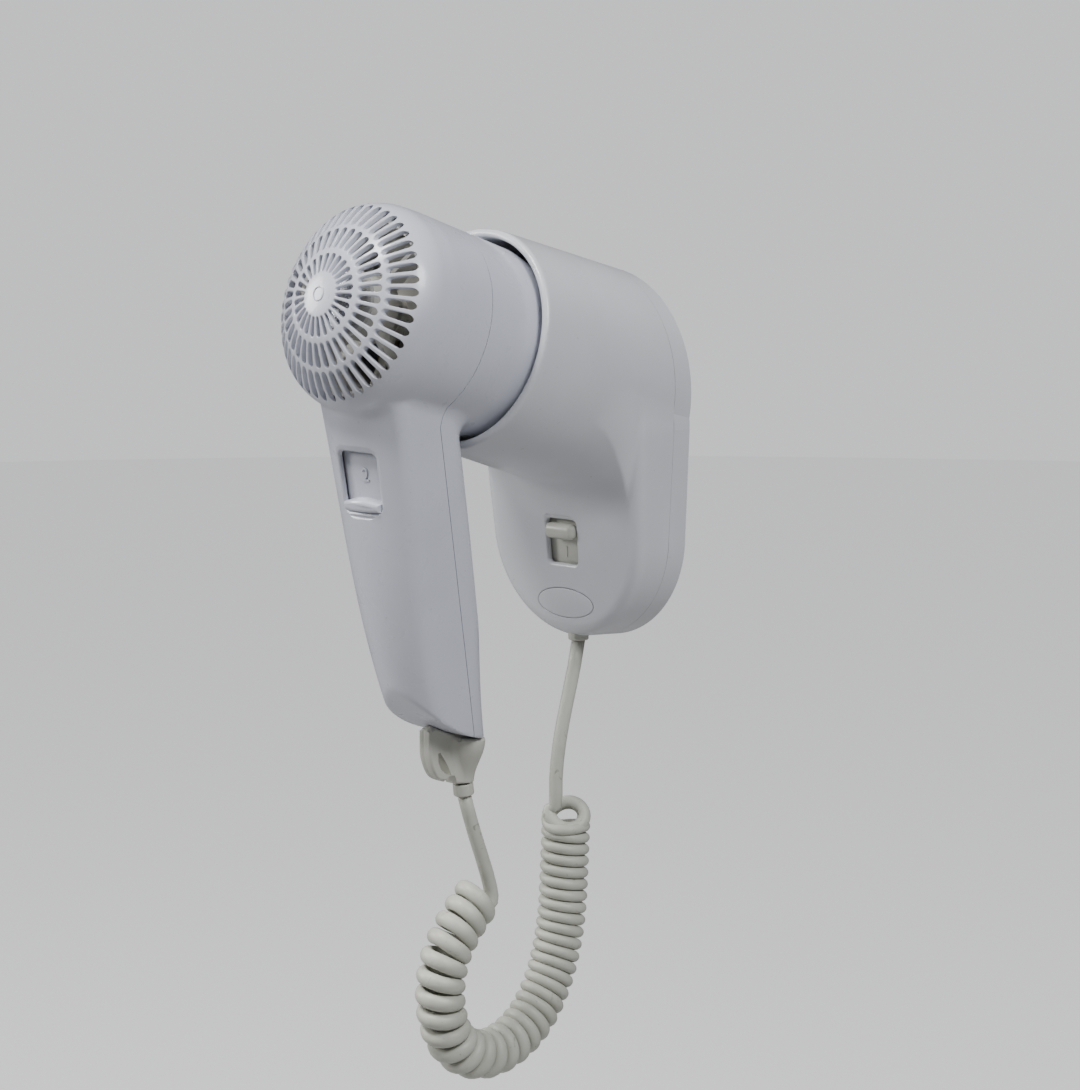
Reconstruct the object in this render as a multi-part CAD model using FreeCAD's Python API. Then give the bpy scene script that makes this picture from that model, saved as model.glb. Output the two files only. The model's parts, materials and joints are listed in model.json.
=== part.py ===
import FreeCAD, Part
import math
import os

from FreeCAD import Placement, Rotation, Vector as V

# Wall-mounted hair dryer: a holder on the wall with a cup, a handset that
# hangs in the cup by its barrel, and a curly cord between them.
# Millimetres. +X right, +Y into the wall, +Z up. The origin is on the wall,
# at the centre of the wall plate's screw holes.

# ---- Holder ----
WALL = 2.2                    # moulded wall of holder and handset
PLATE_DEPTH = 9.8             # wall plate, back to its front edge
SEAM_Y = -10.0                # where the holder shell starts
TOP_CENTRE_Z = 4.0            # centre of the holder's upper round
TOP_RADIUS = 50.2
BOTTOM_CENTRE_Z = -43.5       # centre of the holder's lower round
BOTTOM_RADIUS = 48.0
DRAFT = 0.8                   # the lower body narrows this much towards its front
KEEL_LIFT = 1.6               # its front outline ends this much higher
FRONT_Y_AT_ZERO = -32.3       # lower body's front face at z = 0
FRONT_LEAN = 4.7              # degrees the front face leans towards the wall
FRONT_ROUND = 6.0
CUP_MOUTH = V(0, -87, 45)     # centre of the cup's mouth
TILT = 15.0                   # degrees the barrel's axis rises away from the wall
CUP_BORE_R = 44.6
CUP_RIM_R = 48.2
CUP_WALL_R = 51.0             # cup's outside where it reaches the wall
CUP_DROP = 1.6                # and how far its middle there lies below the barrel's axis
CUP_DEPTH = 44.0
CUP_LINER = 2.0

# ---- Handset barrel, measured along its axis from the cup's mouth ----
OUTLET_AT = -30.0
OUTLET_R = 36.0
SHOULDER_AT = -4.0
SHOULDER_R = 41.6
SEAM_AT = 27.4                # ring seam between the two handset shells
SEAM_R = 43.1
REAR_AT = 48.0
REAR_R = 44.2
DOME_R = 59.2                 # the inlet grille is part of a sphere
DOME_CENTRE_AT = 24.8
DOME_EDGE_ROUND = 5.0

# ---- Inlet grille: (slot count, inner radius, outer radius, inner width, outer width) ----
SLOT_RINGS = [(26, 9.4, 17.6, 1.4, 2.5), (36, 19.8, 29.4, 2.2, 3.2), (46, 30.6, 41.2, 2.8, 3.6)]
HUB_R = 8.8

# ---- Handle, sections between a top and a bottom height ----
HANDLE_TOP_Z = 40.0
HANDLE_BOTTOM_Z = -125.5
HANDLE_FRONT = (-158.2, -119.9)      # front line, top and bottom
HANDLE_CREASE = (-150.7, -109.6)     # where the crowned front meets the sides
HANDLE_BACK = (-115.0, -83.8)
HANDLE_HALF_FRONT = (27.5, 17.0)     # half width at the crease
HANDLE_HALF_BACK = (25.8, 15.5)
HANDLE_BOW = 5.2                     # how far the front bulges, two thirds of the way down
HANDLE_BACK_BOW = 1.6                # how far the back bulges at mid height
HANDLE_TOE_ROUND = 32.0
HANDLE_SECTIONS = 7
HANDLE_SEAM_TOP = V(0, -124, 11)
HANDLE_SEAM_SLOPE = 0.2

# ---- Switches ----
SPEED_Z = -12.0               # centre of the speed switch's window
SPEED_WINDOW = (23.0, 26.0)
SPEED_PLATE_DEPTH = 4.9       # below the crown of the handle
MAIN_Z = -47.5                # centre of the main switch's window
MAIN_WINDOW = (18.0, 20.0)

# ---- Fixings ----
COVER_Z = -75.0               # centre of the oval screw cover
COVER_SCREW_SEAT = -18.5      # where the cover screw's head bears
CLAMP_SCREW_X = (-8.0, 8.0)
HOLES_X = 56.0                # wall screw spacing
HOLES_Z = 84.0
HOLE_R = 2.5
HANDSET_SCREWS_Z = (-47.0, -100.0)

# ---- Air path, measured along the barrel's axis ----
DUCT_R = 36.0
FAN_AT = (33.0, 45.0)
MOTOR_AT = (50.0, 74.0)
MOTOR_R = 12.0
SHAFT_R = 1.0

# ---- Cord ----
CORD_R = 3.05
COIL_R = 11.2
CORD_HOLE_Y = -17.8
GLAND_R = 4.7
BUSH_Y = -92.2                # middle of the bush's stem
BUSH_FOOT_Y = -88.9           # and of its lower end
BUSH_HOLE_R = 5.6
# Routes are (y, z) points in the plane x = 0.
HOLDER_LEAD = [(-17.8, -92.4), (-20.2, -104.0), (-25.4, -120.5), (-30.0, -137.5), (-32.4, -154.5),
               (-31.6, -167.4)]
COIL_ROUTE = [(-25.4, -168.0), (-26.6, -196.0), (-28.6, -222.0), (-36.6, -247.0), (-52.5, -266.0),
              (-77.5, -273.0), (-98.5, -261.5), (-104.5, -236.0), (-96.0, -212.5), (-78.5, -198.0)]
HANDSET_LEAD = [(-88.2, -152.3), (-84.9, -163.0), (-79.6, -177.0), (-74.4, -190.0), (-71.2, -201.0)]

BARREL_FRAME = Placement(CUP_MOUTH, Rotation(V(1, 0, 0), 90 - TILT))


# ---------------------------------------------------------------- helpers
def box(low, high):
    return Part.makeBox(high[0] - low[0], high[1] - low[1], high[2] - low[2], V(*low))


def rod(radius, start, end):
    """Round rod between two points."""
    return Part.makeCylinder(radius, (V(*end) - V(*start)).Length, V(*start), V(*end) - V(*start))


def ring(outer, inner, low, high):
    """Tube about local Z."""
    return rod(outer, (0, 0, low), (0, 0, high)).cut(rod(inner, (0, 0, low - 1), (0, 0, high + 1)))


def revolved(profile):
    """Solid turned about local Z from (radius, height) points."""
    points = [V(r, 0, z) for r, z in profile]
    return Part.Face(Part.makePolygon(points + points[:1])).revolve(V(0, 0, 0), V(0, 0, 1), 360)


def rounded_wire(points, radii):
    """Closed wire whose corners are tangent arcs."""
    corners = []
    for i, corner in enumerate(points):
        back = (points[i - 1] - corner).normalize()
        ahead = (points[(i + 1) % len(points)] - corner).normalize()
        half_turn = (math.pi - back.getAngle(ahead)) / 2
        reach = radii[i] * math.tan(half_turn)
        depth = radii[i] / math.cos(half_turn) - radii[i]
        middle = corner + (back + ahead).normalize() * depth
        corners.append((corner + back * reach, middle, corner + ahead * reach))
    edges = []
    for i, (first, middle, last) in enumerate(corners):
        if radii[i] > 0:
            edges.append(Part.Arc(first, middle, last).toShape())
        edges.append(Part.LineSegment(last, corners[(i + 1) % len(corners)][0]).toShape())
    return Part.Wire(edges)


def placed(shape, placement):
    moved = shape.copy()
    moved.Placement = placement.multiply(moved.Placement)
    return moved


def on_barrel(shape):
    return placed(shape, BARREL_FRAME)


def around(shape, count, start=0.0):
    """Copies of a shape evenly turned about local Z."""
    copies = []
    for i in range(count):
        copy = shape.copy()
        copy.rotate(V(0, 0, 0), V(0, 0, 1), start + 360.0 * i / count)
        copies.append(copy)
    return copies


def fused(shapes):
    return shapes[0].multiFuse(shapes[1:]) if len(shapes) > 1 else shapes[0]


def save(name, shape):
    """Write one node's STEP file and say what it holds."""
    if not shape.isValid():
        print("NOT VALID", name)
    shape.exportStep("parts/" + name + ".step")
    print("%-22s solids %2d  volume %9.0f mm3" % (name, len(shape.Solids), shape.Volume))


# ---------------------------------------------------------------- holder
def holder_outline(y, narrower, lift):
    """Round-ended outline of the holder, in a plane parallel to the wall."""
    top = TOP_RADIUS - narrower
    bottom = BOTTOM_RADIUS - narrower - lift
    left_top, right_top = V(-top, y, TOP_CENTRE_Z), V(top, y, TOP_CENTRE_Z)
    left_low, right_low = V(-bottom, y, BOTTOM_CENTRE_Z), V(bottom, y, BOTTOM_CENTRE_Z)
    crown = Part.Arc(left_top, V(0, y, TOP_CENTRE_Z + top), right_top).toShape()
    right = Part.LineSegment(right_top, right_low).toShape()
    keel = Part.Arc(right_low, V(0, y, BOTTOM_CENTRE_Z - bottom), left_low).toShape()
    left = Part.LineSegment(left_low, left_top).toShape()
    return Part.Wire([crown, right, keel, left])


def front_frame(z, inset=0.0):
    """Frame on the holder's front face: local Y up the face, local Z outwards."""
    y = FRONT_Y_AT_ZERO - z * math.tan(math.radians(FRONT_LEAN))
    frame = Placement(V(0, y, z), Rotation(V(1, 0, 0), 90 + FRONT_LEAN))
    return frame.multiply(Placement(V(0, 0, -inset), Rotation()))


def lower_body(inset):
    """The switch housing below the cup."""
    deep = -60.0
    wires = [holder_outline(0, inset, 0.0), holder_outline(deep, inset + DRAFT, 2 * KEEL_LIFT)]
    body = Part.makeLoft(wires, True)
    in_front = placed(box((-90, -160, 0), (90, 160, 80)), front_frame(0, inset))
    body = body.cut(in_front)
    face = min(body.Faces, key=lambda f: f.CenterOfMass.y)
    return body.makeFillet(FRONT_ROUND - inset, face.Edges)


def cup_cone(inset):
    """The cup's outside, from its rim back through the wall plane."""
    reach = -CUP_MOUTH.y / math.cos(math.radians(TILT))
    past_wall = 40.0
    stretch = (reach + past_wall) / reach
    deep_radius = CUP_RIM_R + (CUP_WALL_R - CUP_RIM_R) * stretch - inset
    mouth = Part.Wire([Part.Circle(V(0, 0, 0), V(0, 0, 1), CUP_RIM_R - inset).toShape()])
    deep_middle = V(0, -CUP_DROP * stretch, -reach - past_wall)
    deep = Part.Wire([Part.Circle(deep_middle, V(0, 0, 1), deep_radius).toShape()])
    return on_barrel(Part.makeLoft([deep, mouth], True))


def holder_body():
    whole = lower_body(0.0).fuse(cup_cone(0.0))
    room = box((-90, -200, -150), (90, 0, 150))
    return whole.common(room)


def cup_liner():
    return on_barrel(rod(CUP_BORE_R + CUP_LINER, (0, 0, -CUP_DEPTH - CUP_LINER), (0, 0, 0)))


def cover_outline(grow):
    """Flat oval of the screw cover, thick enough to cut the front wall."""
    oval = Part.Ellipse(V(0, 0, 0), 17.0 + grow, 6.5 + grow).toShape()
    return Part.Face(Part.Wire([oval]))


def window_cutter(size):
    """Block that opens a switch window through a front wall."""
    return box((-size[0] / 2, -size[1] / 2, -6), (size[0] / 2, size[1] / 2, 6))


def holder_shell(outer, hollows):
    shell = outer.copy()
    for hollow in hollows:
        shell = shell.cut(hollow.cut(cup_liner()))
    shell = shell.cut(on_barrel(rod(CUP_BORE_R, (0, 0, -CUP_DEPTH), (0, 0, 20))))
    shell = shell.cut(box((-90, SEAM_Y, -150), (90, 20, 150)))
    shell = shell.cut(placed(window_cutter(MAIN_WINDOW), front_frame(MAIN_Z)))
    pocket = placed(cover_outline(0.25).extrude(V(0, 0, 1.6)), front_frame(COVER_Z, 1.2))
    shell = shell.cut(pocket)
    boss = rod(4.5, (0, SEAM_Y, COVER_Z), (0, FRONT_Y_AT_ZERO - 10, COVER_Z)).common(hollows[0])
    shell = shell.fuse(boss).cut(rod(1.7, (0, 0, COVER_Z), (0, -80, COVER_Z)))
    shell = shell.cut(rod(3.6, (0, -60, COVER_Z), (0, COVER_SCREW_SEAT, COVER_Z)))
    posts = [rod(2.6, (x, CORD_HOLE_Y, -91), (x, CORD_HOLE_Y, -86.0)) for x in CLAMP_SCREW_X]
    shell = shell.fuse(fused(posts).common(lower_body(WALL / 2)))
    threads = [rod(1.2, (x, CORD_HOLE_Y, -89.5), (x, CORD_HOLE_Y, -80)) for x in CLAMP_SCREW_X]
    shell = shell.cut(fused(threads))
    return shell.cut(rod(GLAND_R, (0, CORD_HOLE_Y, -120), (0, CORD_HOLE_Y, -86.2)))


def wall_plate(outer, hollows):
    """Shallow tray that is screwed to the wall."""
    tray = outer.common(box((-90, -PLATE_DEPTH, -150), (90, 0, 150)))
    above_floor = box((-90, -150, -150), (90, -2.6, 150))
    for hollow in hollows:
        tray = tray.cut(hollow.common(above_floor))
    places = [(x, z) for x in (-HOLES_X / 2, HOLES_X / 2) for z in (-HOLES_Z / 2, HOLES_Z / 2)]
    holes = [rod(HOLE_R, (x, -5, z), (x, 5, z)) for x, z in places]
    tray = tray.cut(fused(holes))
    tray = tray.cut(rod(8.0, (0, -5, 8), (0, 5, 8)))
    pillar = rod(4.5, (0, -PLATE_DEPTH, COVER_Z), (0, -1, COVER_Z))
    return tray.fuse(pillar).cut(rod(1.25, (0, -12, COVER_Z), (0, -3, COVER_Z)))


def screw_cover():
    return placed(cover_outline(0.0).extrude(V(0, 0, 1.3)), front_frame(COVER_Z, 1.15))


def cover_screw():
    shank = rod(1.25, (0, COVER_SCREW_SEAT, COVER_Z), (0, -3.2, COVER_Z))
    head = rod(3.0, (0, COVER_SCREW_SEAT - 2.2, COVER_Z), (0, COVER_SCREW_SEAT, COVER_Z))
    return shank.fuse(head)


def main_slider():
    """Sliding plate with a rounded thumb bar, behind the holder's window."""
    half_w = MAIN_WINDOW[0] / 2
    plate = box((-half_w - 2, -12.0, -4.4), (half_w + 2, 21.0, -2.9))
    bar = box((-half_w + 0.4, 1.6, -3.0), (half_w - 0.4, 8.4, 2.4))
    bar = bar.makeFillet(2.2, [e for e in bar.Edges if e.CenterOfMass.z > 2.3])
    return placed(plate.fuse(bar), front_frame(MAIN_Z))


def main_switch_body():
    body = box((-8, -13, -16), (8, 13, -4.8))
    terminals = [box((-1.2 + x, -10, -20), (1.2 + x, -7, -16)) for x in (-5, 0, 5)]
    return placed(fused([body] + terminals), front_frame(MAIN_Z))


def terminal_block():
    block = box((-15, -15, -26), (15, -2.6, -14))
    bores = [rod(1.6, (x, -20, -20), (x, -6, -20)) for x in (-10, 0, 10)]
    return block.cut(fused(bores))


def holder_clamp():
    """Bar that grips the cord just inside the gland."""
    bar = box((-11, CORD_HOLE_Y - 4, -86.0), (11, CORD_HOLE_Y + 4, -82.0))
    for x in CLAMP_SCREW_X:
        bar = bar.cut(rod(1.5, (x, CORD_HOLE_Y, -90), (x, CORD_HOLE_Y, -80)))
    return bar.cut(rod(CORD_R, (0, CORD_HOLE_Y, -90), (0, CORD_HOLE_Y, -80)))


def holder_clamp_screws():
    """Two screws that hold the clamp bar down on its posts."""
    pieces = []
    for x in CLAMP_SCREW_X:
        shank = rod(1.2, (x, CORD_HOLE_Y, -89.4), (x, CORD_HOLE_Y, -82.0))
        pieces.append(shank.fuse(rod(2.4, (x, CORD_HOLE_Y, -82.0), (x, CORD_HOLE_Y, -80.4))))
    return Part.makeCompound(pieces)


def holder_gland():
    """Flanged rubber bush in the holder's underside."""
    profile = [(CORD_R, -92.4), (4.2, -92.4), (GLAND_R - 0.1, -91.9), (GLAND_R - 0.1, -86.6),
               (CORD_R, -86.6)]
    return placed(revolved(profile), Placement(V(0, CORD_HOLE_Y, 0), Rotation()))


# ---------------------------------------------------------------- handset shells
def barrel_solid(inset):
    profile = [(0, OUTLET_AT - inset), (OUTLET_R - inset, OUTLET_AT - inset),
               (SHOULDER_R - inset, SHOULDER_AT), (SEAM_R - inset, SEAM_AT),
               (REAR_R - inset, REAR_AT), (REAR_R - inset, 90), (0, 90)]
    body = revolved(profile)
    dome = Part.makeSphere(DOME_R - inset, V(0, 0, DOME_CENTRE_AT))
    dome = dome.fuse(rod(DOME_R, (0, 0, -60), (0, 0, DOME_CENTRE_AT)))
    body = body.common(dome).removeSplitter()
    rim = [e for e in body.Edges if abs(e.BoundBox.XMax - REAR_R + inset) < 0.01 and e.BoundBox.ZMin > 55
           and e.BoundBox.ZLength < 0.01]
    return on_barrel(body.makeFillet(DOME_EDGE_ROUND - inset, rim))


def handle_bow(part):
    """How far the front stands out; part is 0 at the top and 1 at the bottom."""
    return HANDLE_BOW * 6.75 * part ** 2 * (1 - part)


def handle_section(part, inset):
    """Outline of the handle; part is 0 at the top and 1 at the bottom."""
    def at(pair):
        return pair[0] + (pair[1] - pair[0]) * part
    z = HANDLE_TOP_Z + (HANDLE_BOTTOM_Z - HANDLE_TOP_Z) * part
    bow = handle_bow(part)
    front = at(HANDLE_FRONT) + inset - bow
    crease = at(HANDLE_CREASE) + inset * 0.7 - bow
    back = at(HANDLE_BACK) - inset + HANDLE_BACK_BOW * 4 * part * (1 - part)
    half_front, half_back = at(HANDLE_HALF_FRONT) - inset, at(HANDLE_HALF_BACK) - inset
    sagitta = crease - front
    crown_round = (half_front ** 2 + sagitta ** 2) / (2 * sagitta)
    crown = crown_round * math.tan(math.asin(half_front / crown_round) / 2)
    right = [V(crown, front, z), V(half_front, crease, z), V(half_back, back, z)]
    left = [V(-p.x, p.y, p.z) for p in reversed(right)]
    radii = [0.8 * crown_round, 4.0 - inset, 9.0 - inset]
    return rounded_wire(right + left, radii + radii[::-1])


def handle_solid(inset):
    last = HANDLE_SECTIONS - 1
    loft = Part.makeLoft([handle_section(i / last, inset) for i in range(HANDLE_SECTIONS)], True)
    low = HANDLE_BOTTOM_Z + inset
    toe = HANDLE_FRONT[1] + inset
    slope = (HANDLE_FRONT[1] - HANDLE_FRONT[0] + 6.75 * HANDLE_BOW) / (HANDLE_TOP_Z - HANDLE_BOTTOM_Z)
    top = HANDLE_TOP_Z + 20
    ahead = toe - (top - low) * slope
    side = [V(-60, ahead, top), V(-60, toe, low), V(-60, -60, low), V(-60, -60, top)]
    wire = rounded_wire(side, [0, HANDLE_TOE_ROUND - inset, 0, 0])
    return loft.common(Part.Face(wire).extrude(V(120, 0, 0)))


def handset_solid(inset):
    return barrel_solid(inset).fuse(handle_solid(inset)).removeSplitter()


def inlet_side():
    """Everything on the room side of the seam between the two shells."""
    ring_y = HANDLE_SEAM_TOP.y
    down = 200.0
    lower = V(-80, ring_y + down * HANDLE_SEAM_SLOPE, HANDLE_SEAM_TOP.z - down)
    start = V(-80, ring_y, HANDLE_SEAM_TOP.z)
    across = BARREL_FRAME.Rotation.multVec(V(0, 1, 0))
    upper = start + across * 150
    points = [start, lower, V(-80, -300, lower.z), V(-80, -300, upper.z), upper]
    return Part.Face(Part.makePolygon(points + points[:1])).extrude(V(160, 0, 0))


def slot_cutter(inner, outer, inner_width, outer_width):
    a, b = inner_width / 2, outer_width / 2
    start, end = inner + a, outer - b
    edges = [Part.LineSegment(V(start, a, 0), V(end, b, 0)).toShape(),
             Part.Arc(V(end, b, 0), V(outer, 0, 0), V(end, -b, 0)).toShape(),
             Part.LineSegment(V(end, -b, 0), V(start, -a, 0)).toShape(),
             Part.Arc(V(start, -a, 0), V(inner, 0, 0), V(start, a, 0)).toShape()]
    return Part.Face(Part.Wire(edges)).extrude(V(0, 0, 45))


def grille_cutters():
    cutters = []
    for count, inner, outer, inner_width, outer_width in SLOT_RINGS:
        slot = slot_cutter(inner, outer, inner_width, outer_width)
        slot.translate(V(0, 0, 50))
        cutters += around(slot, count)
    return [on_barrel(cutter) for cutter in cutters]


def handle_front_frame(z, inset=0.0):
    """Frame on the crown of the handle's front: local Y up the handle, local Z outwards."""
    def crown(height):
        part = (HANDLE_TOP_Z - height) / (HANDLE_TOP_Z - HANDLE_BOTTOM_Z)
        return HANDLE_FRONT[0] + (HANDLE_FRONT[1] - HANDLE_FRONT[0]) * part - handle_bow(part)
    lean = math.degrees(math.atan(crown(z - 0.5) - crown(z + 0.5)))
    frame = Placement(V(0, crown(z), z), Rotation(V(1, 0, 0), 90 + lean))
    return frame.multiply(Placement(V(0, 0, -inset), Rotation()))


def screw_line(z, reach_in, reach_out):
    """Ends of a line parallel to Y through the handle, about the shells' seam."""
    seam = HANDLE_SEAM_TOP.y + (HANDLE_SEAM_TOP.z - z) * HANDLE_SEAM_SLOPE
    return (0, seam - reach_in, z), (0, seam + reach_out, z)


def handset_bosses(inner):
    """Posts inside the handle that the screws pull together."""
    return fused([rod(3.4, *screw_line(z, 40, 40)) for z in HANDSET_SCREWS_Z]).common(inner)


def handset_screw_bores(shell, radius_in, radius_out):
    for z in HANDSET_SCREWS_Z:
        shell = shell.cut(rod(radius_in, *screw_line(z, 8, 0)))
        shell = shell.cut(rod(radius_out, *screw_line(z, 0, 40)))
        shell = shell.cut(rod(2.9, screw_line(z, 0, 8.0)[1], screw_line(z, 0, 40)[1]))
    return shell


def handset_screws():
    """Two screws put in from the back of the handle."""
    pieces = []
    for z in HANDSET_SCREWS_Z:
        tip, seat = screw_line(z, 7.5, 8.0)
        head_end = (seat[0], seat[1] + 2.0, seat[2])
        pieces.append(rod(1.3, tip, seat).fuse(rod(2.7, seat, head_end)))
    return Part.makeCompound(pieces)


def inlet_shell(outer, inner, side):
    shell = outer.cut(inner).fuse(handset_bosses(inner)).common(side)
    shell = handset_screw_bores(shell, 1.3, 1.4)
    hub = on_barrel(revolved([(0, 81.0), (HUB_R, 81.0), (HUB_R, 84.0), (0, 84.3)]))
    shell = shell.fuse(hub)
    shell = shell.cut(placed(window_cutter(SPEED_WINDOW), handle_front_frame(SPEED_Z)))
    shell = shell.cut(rod(BUSH_HOLE_R, (0, BUSH_Y, -140), (0, BUSH_Y, -115)))
    return shell.cut(grille_cutters())


def outlet_shell(outer, inner, side):
    shell = outer.cut(inner).fuse(handset_bosses(inner)).cut(side)
    shell = handset_screw_bores(shell, 1.3, 1.4)
    shell = shell.cut(on_barrel(rod(OUTLET_R - WALL, (0, 0, OUTLET_AT - 10), (0, 0, OUTLET_AT + 8))))
    return shell.cut(rod(BUSH_HOLE_R, (0, BUSH_Y, -140), (0, BUSH_Y, -115)))


# ---------------------------------------------------------------- air path
def outlet_grille():
    rings = [ring(r + 0.6, r - 0.6, -27.5, -25.0) for r in (11.0, 19.0, 27.0)]
    rim = ring(33.5, 31.5, -28.0, -23.0)
    spokes = around(box((3.0, -0.6, -27.5), (32.5, 0.6, -25.0)), 8)
    hub = rod(4.0, (0, 0, -27.5), (0, 0, -25.0))
    return on_barrel(fused([rim, hub] + rings + spokes))


def mica_sleeve():
    return on_barrel(ring(33.0, 32.2, -22.0, 20.0))


def heater_turns(radius, wire):
    return [Part.makeTorus(radius, wire, V(0, 0, z)) for z in (-16, -10, -4, 2, 8)]


def mica_boards():
    """Crossed heat-proof boards, notched for the heating wire."""
    one = box((-29.5, -0.4, -21.0), (29.5, 0.4, 18.0))
    two = box((-0.4, -29.5, -21.0), (0.4, 29.5, 18.0))
    notches = fused(heater_turns(27.0, 2.1) + heater_turns(16.0, 2.1))
    return on_barrel(one.fuse(two).cut(notches))


def heater_coils():
    return on_barrel(Part.makeCompound(heater_turns(27.0, 1.9) + heater_turns(16.0, 1.9)))


def thermostat():
    can = rod(4.0, (8.0, 2.0, 14.0), (8.0, 6.0, 14.0))
    tabs = box((5.5, 0.5, 13.0), (10.5, 2.2, 15.0))
    return on_barrel(can.fuse(tabs))


def thermal_fuse():
    return on_barrel(rod(1.4, (-8.0, -2.4, 5.0), (-8.0, -2.4, 15.0)))


def rectifier():
    return on_barrel(rod(1.8, (-8.0, 2.6, 4.0), (-8.0, 2.6, 14.0)))


def fan_duct():
    """Ring round the fan, with four arms that carry the motor."""
    outer_ring = ring(DUCT_R + 2.0, DUCT_R, 26.0, 62.0)
    cradle = ring(MOTOR_R + 2.0, MOTOR_R + 0.05, 52.0, 66.0)
    arms = around(box((MOTOR_R + 1.0, -1.0, 52.0), (DUCT_R + 1.0, 1.0, 60.0)), 4, 45.0)
    flange = ring(SEAM_R - WALL - 0.4, DUCT_R + 1.5, 29.0, 32.0)
    return on_barrel(fused([outer_ring, cradle, flange] + arms))


def motor():
    can = rod(MOTOR_R, (0, 0, MOTOR_AT[0]), (0, 0, MOTOR_AT[1]))
    nose = rod(4.0, (0, 0, MOTOR_AT[0] - 2), (0, 0, MOTOR_AT[0]))
    tail = rod(4.0, (0, 0, MOTOR_AT[1]), (0, 0, MOTOR_AT[1] + 2))
    bore = rod(SHAFT_R + 0.05, (0, 0, MOTOR_AT[0] - 5), (0, 0, MOTOR_AT[1] + 0.5))
    return on_barrel(fused([can, nose, tail]).cut(bore))


def motor_shaft():
    return on_barrel(rod(SHAFT_R, (0, 0, FAN_AT[0]), (0, 0, MOTOR_AT[1] - 1)))


def fan_blade():
    """One pitched blade of even thickness."""
    blade = box((8.0, -9.0, -0.6), (DUCT_R - 1.2, 9.0, 0.6))
    blade.rotate(V(0, 0, 0), V(1, 0, 0), 32)
    blade.translate(V(0, 0, sum(FAN_AT) / 2))
    return blade.common(ring(DUCT_R - 1.2, 7.0, FAN_AT[0], FAN_AT[1]))


def impeller():
    front, back = FAN_AT
    hub = revolved([(SHAFT_R, front), (6.0, front), (9.0, front + 3), (9.0, back), (SHAFT_R, back)])
    return on_barrel(fused([hub] + around(fan_blade(), 7)))


# ---------------------------------------------------------------- handle insides
def speed_slider():
    half_w = SPEED_WINDOW[0] / 2
    plate = box((-half_w - 0.4, -28.5, -SPEED_PLATE_DEPTH - 1.5), (half_w + 0.4, 14.0, -SPEED_PLATE_DEPTH))
    bar = box((-half_w + 0.5, -12.4, -SPEED_PLATE_DEPTH - 0.2), (half_w - 0.5, -7.9, 0.6))
    bar = bar.makeFillet(1.6, [e for e in bar.Edges if e.CenterOfMass.z > 0.5])
    return placed(plate.fuse(bar), handle_front_frame(SPEED_Z))


def speed_switch():
    body = box((-8, -12, -20), (8, 12, -SPEED_PLATE_DEPTH - 2.4))
    places = [(x, 6 * row - 9) for x in (-5, 5) for row in range(3)]
    pins = [box((x - 0.5, low, -24), (x + 0.5, low + 3, -20)) for x, low in places]
    return placed(fused([body] + pins), handle_front_frame(SPEED_Z))


def suppressor():
    return placed(box((-7, -8, -22), (7, 8, -14)), handle_front_frame(-66.0))


def handle_leads():
    """The two cores of the cord, from the clamp up to the speed switch."""
    leads = []
    for x in (-4.5, 4.5):
        low, bend, top = (x, -95.0, -112.0), (x * 2.2, -102.5, -66.0), (x * 2.2, -116.0, -20.0)
        leads.append(rod(1.1, low, bend).fuse(rod(1.1, bend, top)))
    return Part.makeCompound(leads)


def handset_clamp():
    return box((-9, BUSH_Y - 5.5, -116.0), (9, BUSH_Y + 3.0, -112.5))


def bush_section(half_x, half_y, y, z):
    """One oval of the bush, level with the floor."""
    oval = Part.Ellipse(V(0, 0, 0), half_x, half_y).toShape()
    return placed(Part.Wire([oval]), Placement(V(0, y, z), Rotation()))


def cord_bush():
    """Bell-shaped cord bush with a hanging loop on its room side."""
    ovals = [(13.6, 7.8, -90.5, -125.9), (13.0, 7.5, -90.3, -130.0), (8.8, 6.6, -89.8, -137.5),
             (5.6, 5.2, -89.2, -143.5), (4.9, 4.8, -88.9, -146.5)]
    bell = Part.makeLoft([bush_section(*oval) for oval in ovals], True)
    stem = rod(BUSH_HOLE_R - 0.2, (0, BUSH_Y, -127), (0, BUSH_Y, -120.8))
    flange = box((-9.5, BUSH_Y - 6.0, -123.1), (9.5, BUSH_Y + 4.0, -120.8))
    outer = [V(-3.6, -111.5, -125.9), V(-3.6, -111.0, -139.0), V(-3.6, -102.0, -146.5),
             V(-3.6, -89.0, -146.5), V(-3.6, -89.0, -125.9)]
    loop = Part.Face(rounded_wire(outer, [0, 7, 9, 0, 0])).extrude(V(7.2, 0, 0))
    inner = [V(-15, -107.0, -130.5), V(-15, -106.2, -137.5), V(-15, -98.0, -142.8), V(-15, -98.8, -137.0),
             V(-15, -101.6, -130.5)]
    hole = Part.Face(rounded_wire(inner, [0.8, 4, 0.8, 0, 0.8])).extrude(V(30, 0, 0))
    bush = bell.fuse([loop, stem, flange]).cut(hole)
    return bush.cut(rod(CORD_R, (0, BUSH_FOOT_Y + 0.5, -150), (0, BUSH_Y, -110)))


def bush_collar():
    return ring_at(4.5, CORD_R, V(0, BUSH_FOOT_Y, -147.1), V(0, BUSH_FOOT_Y + 0.7, -152.2))


def ring_at(outer, inner, start, end):
    return Part.makeCylinder(outer, (end - start).Length, start, end - start).cut(
        Part.makeCylinder(inner, 20, start - (end - start), end - start))


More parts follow.
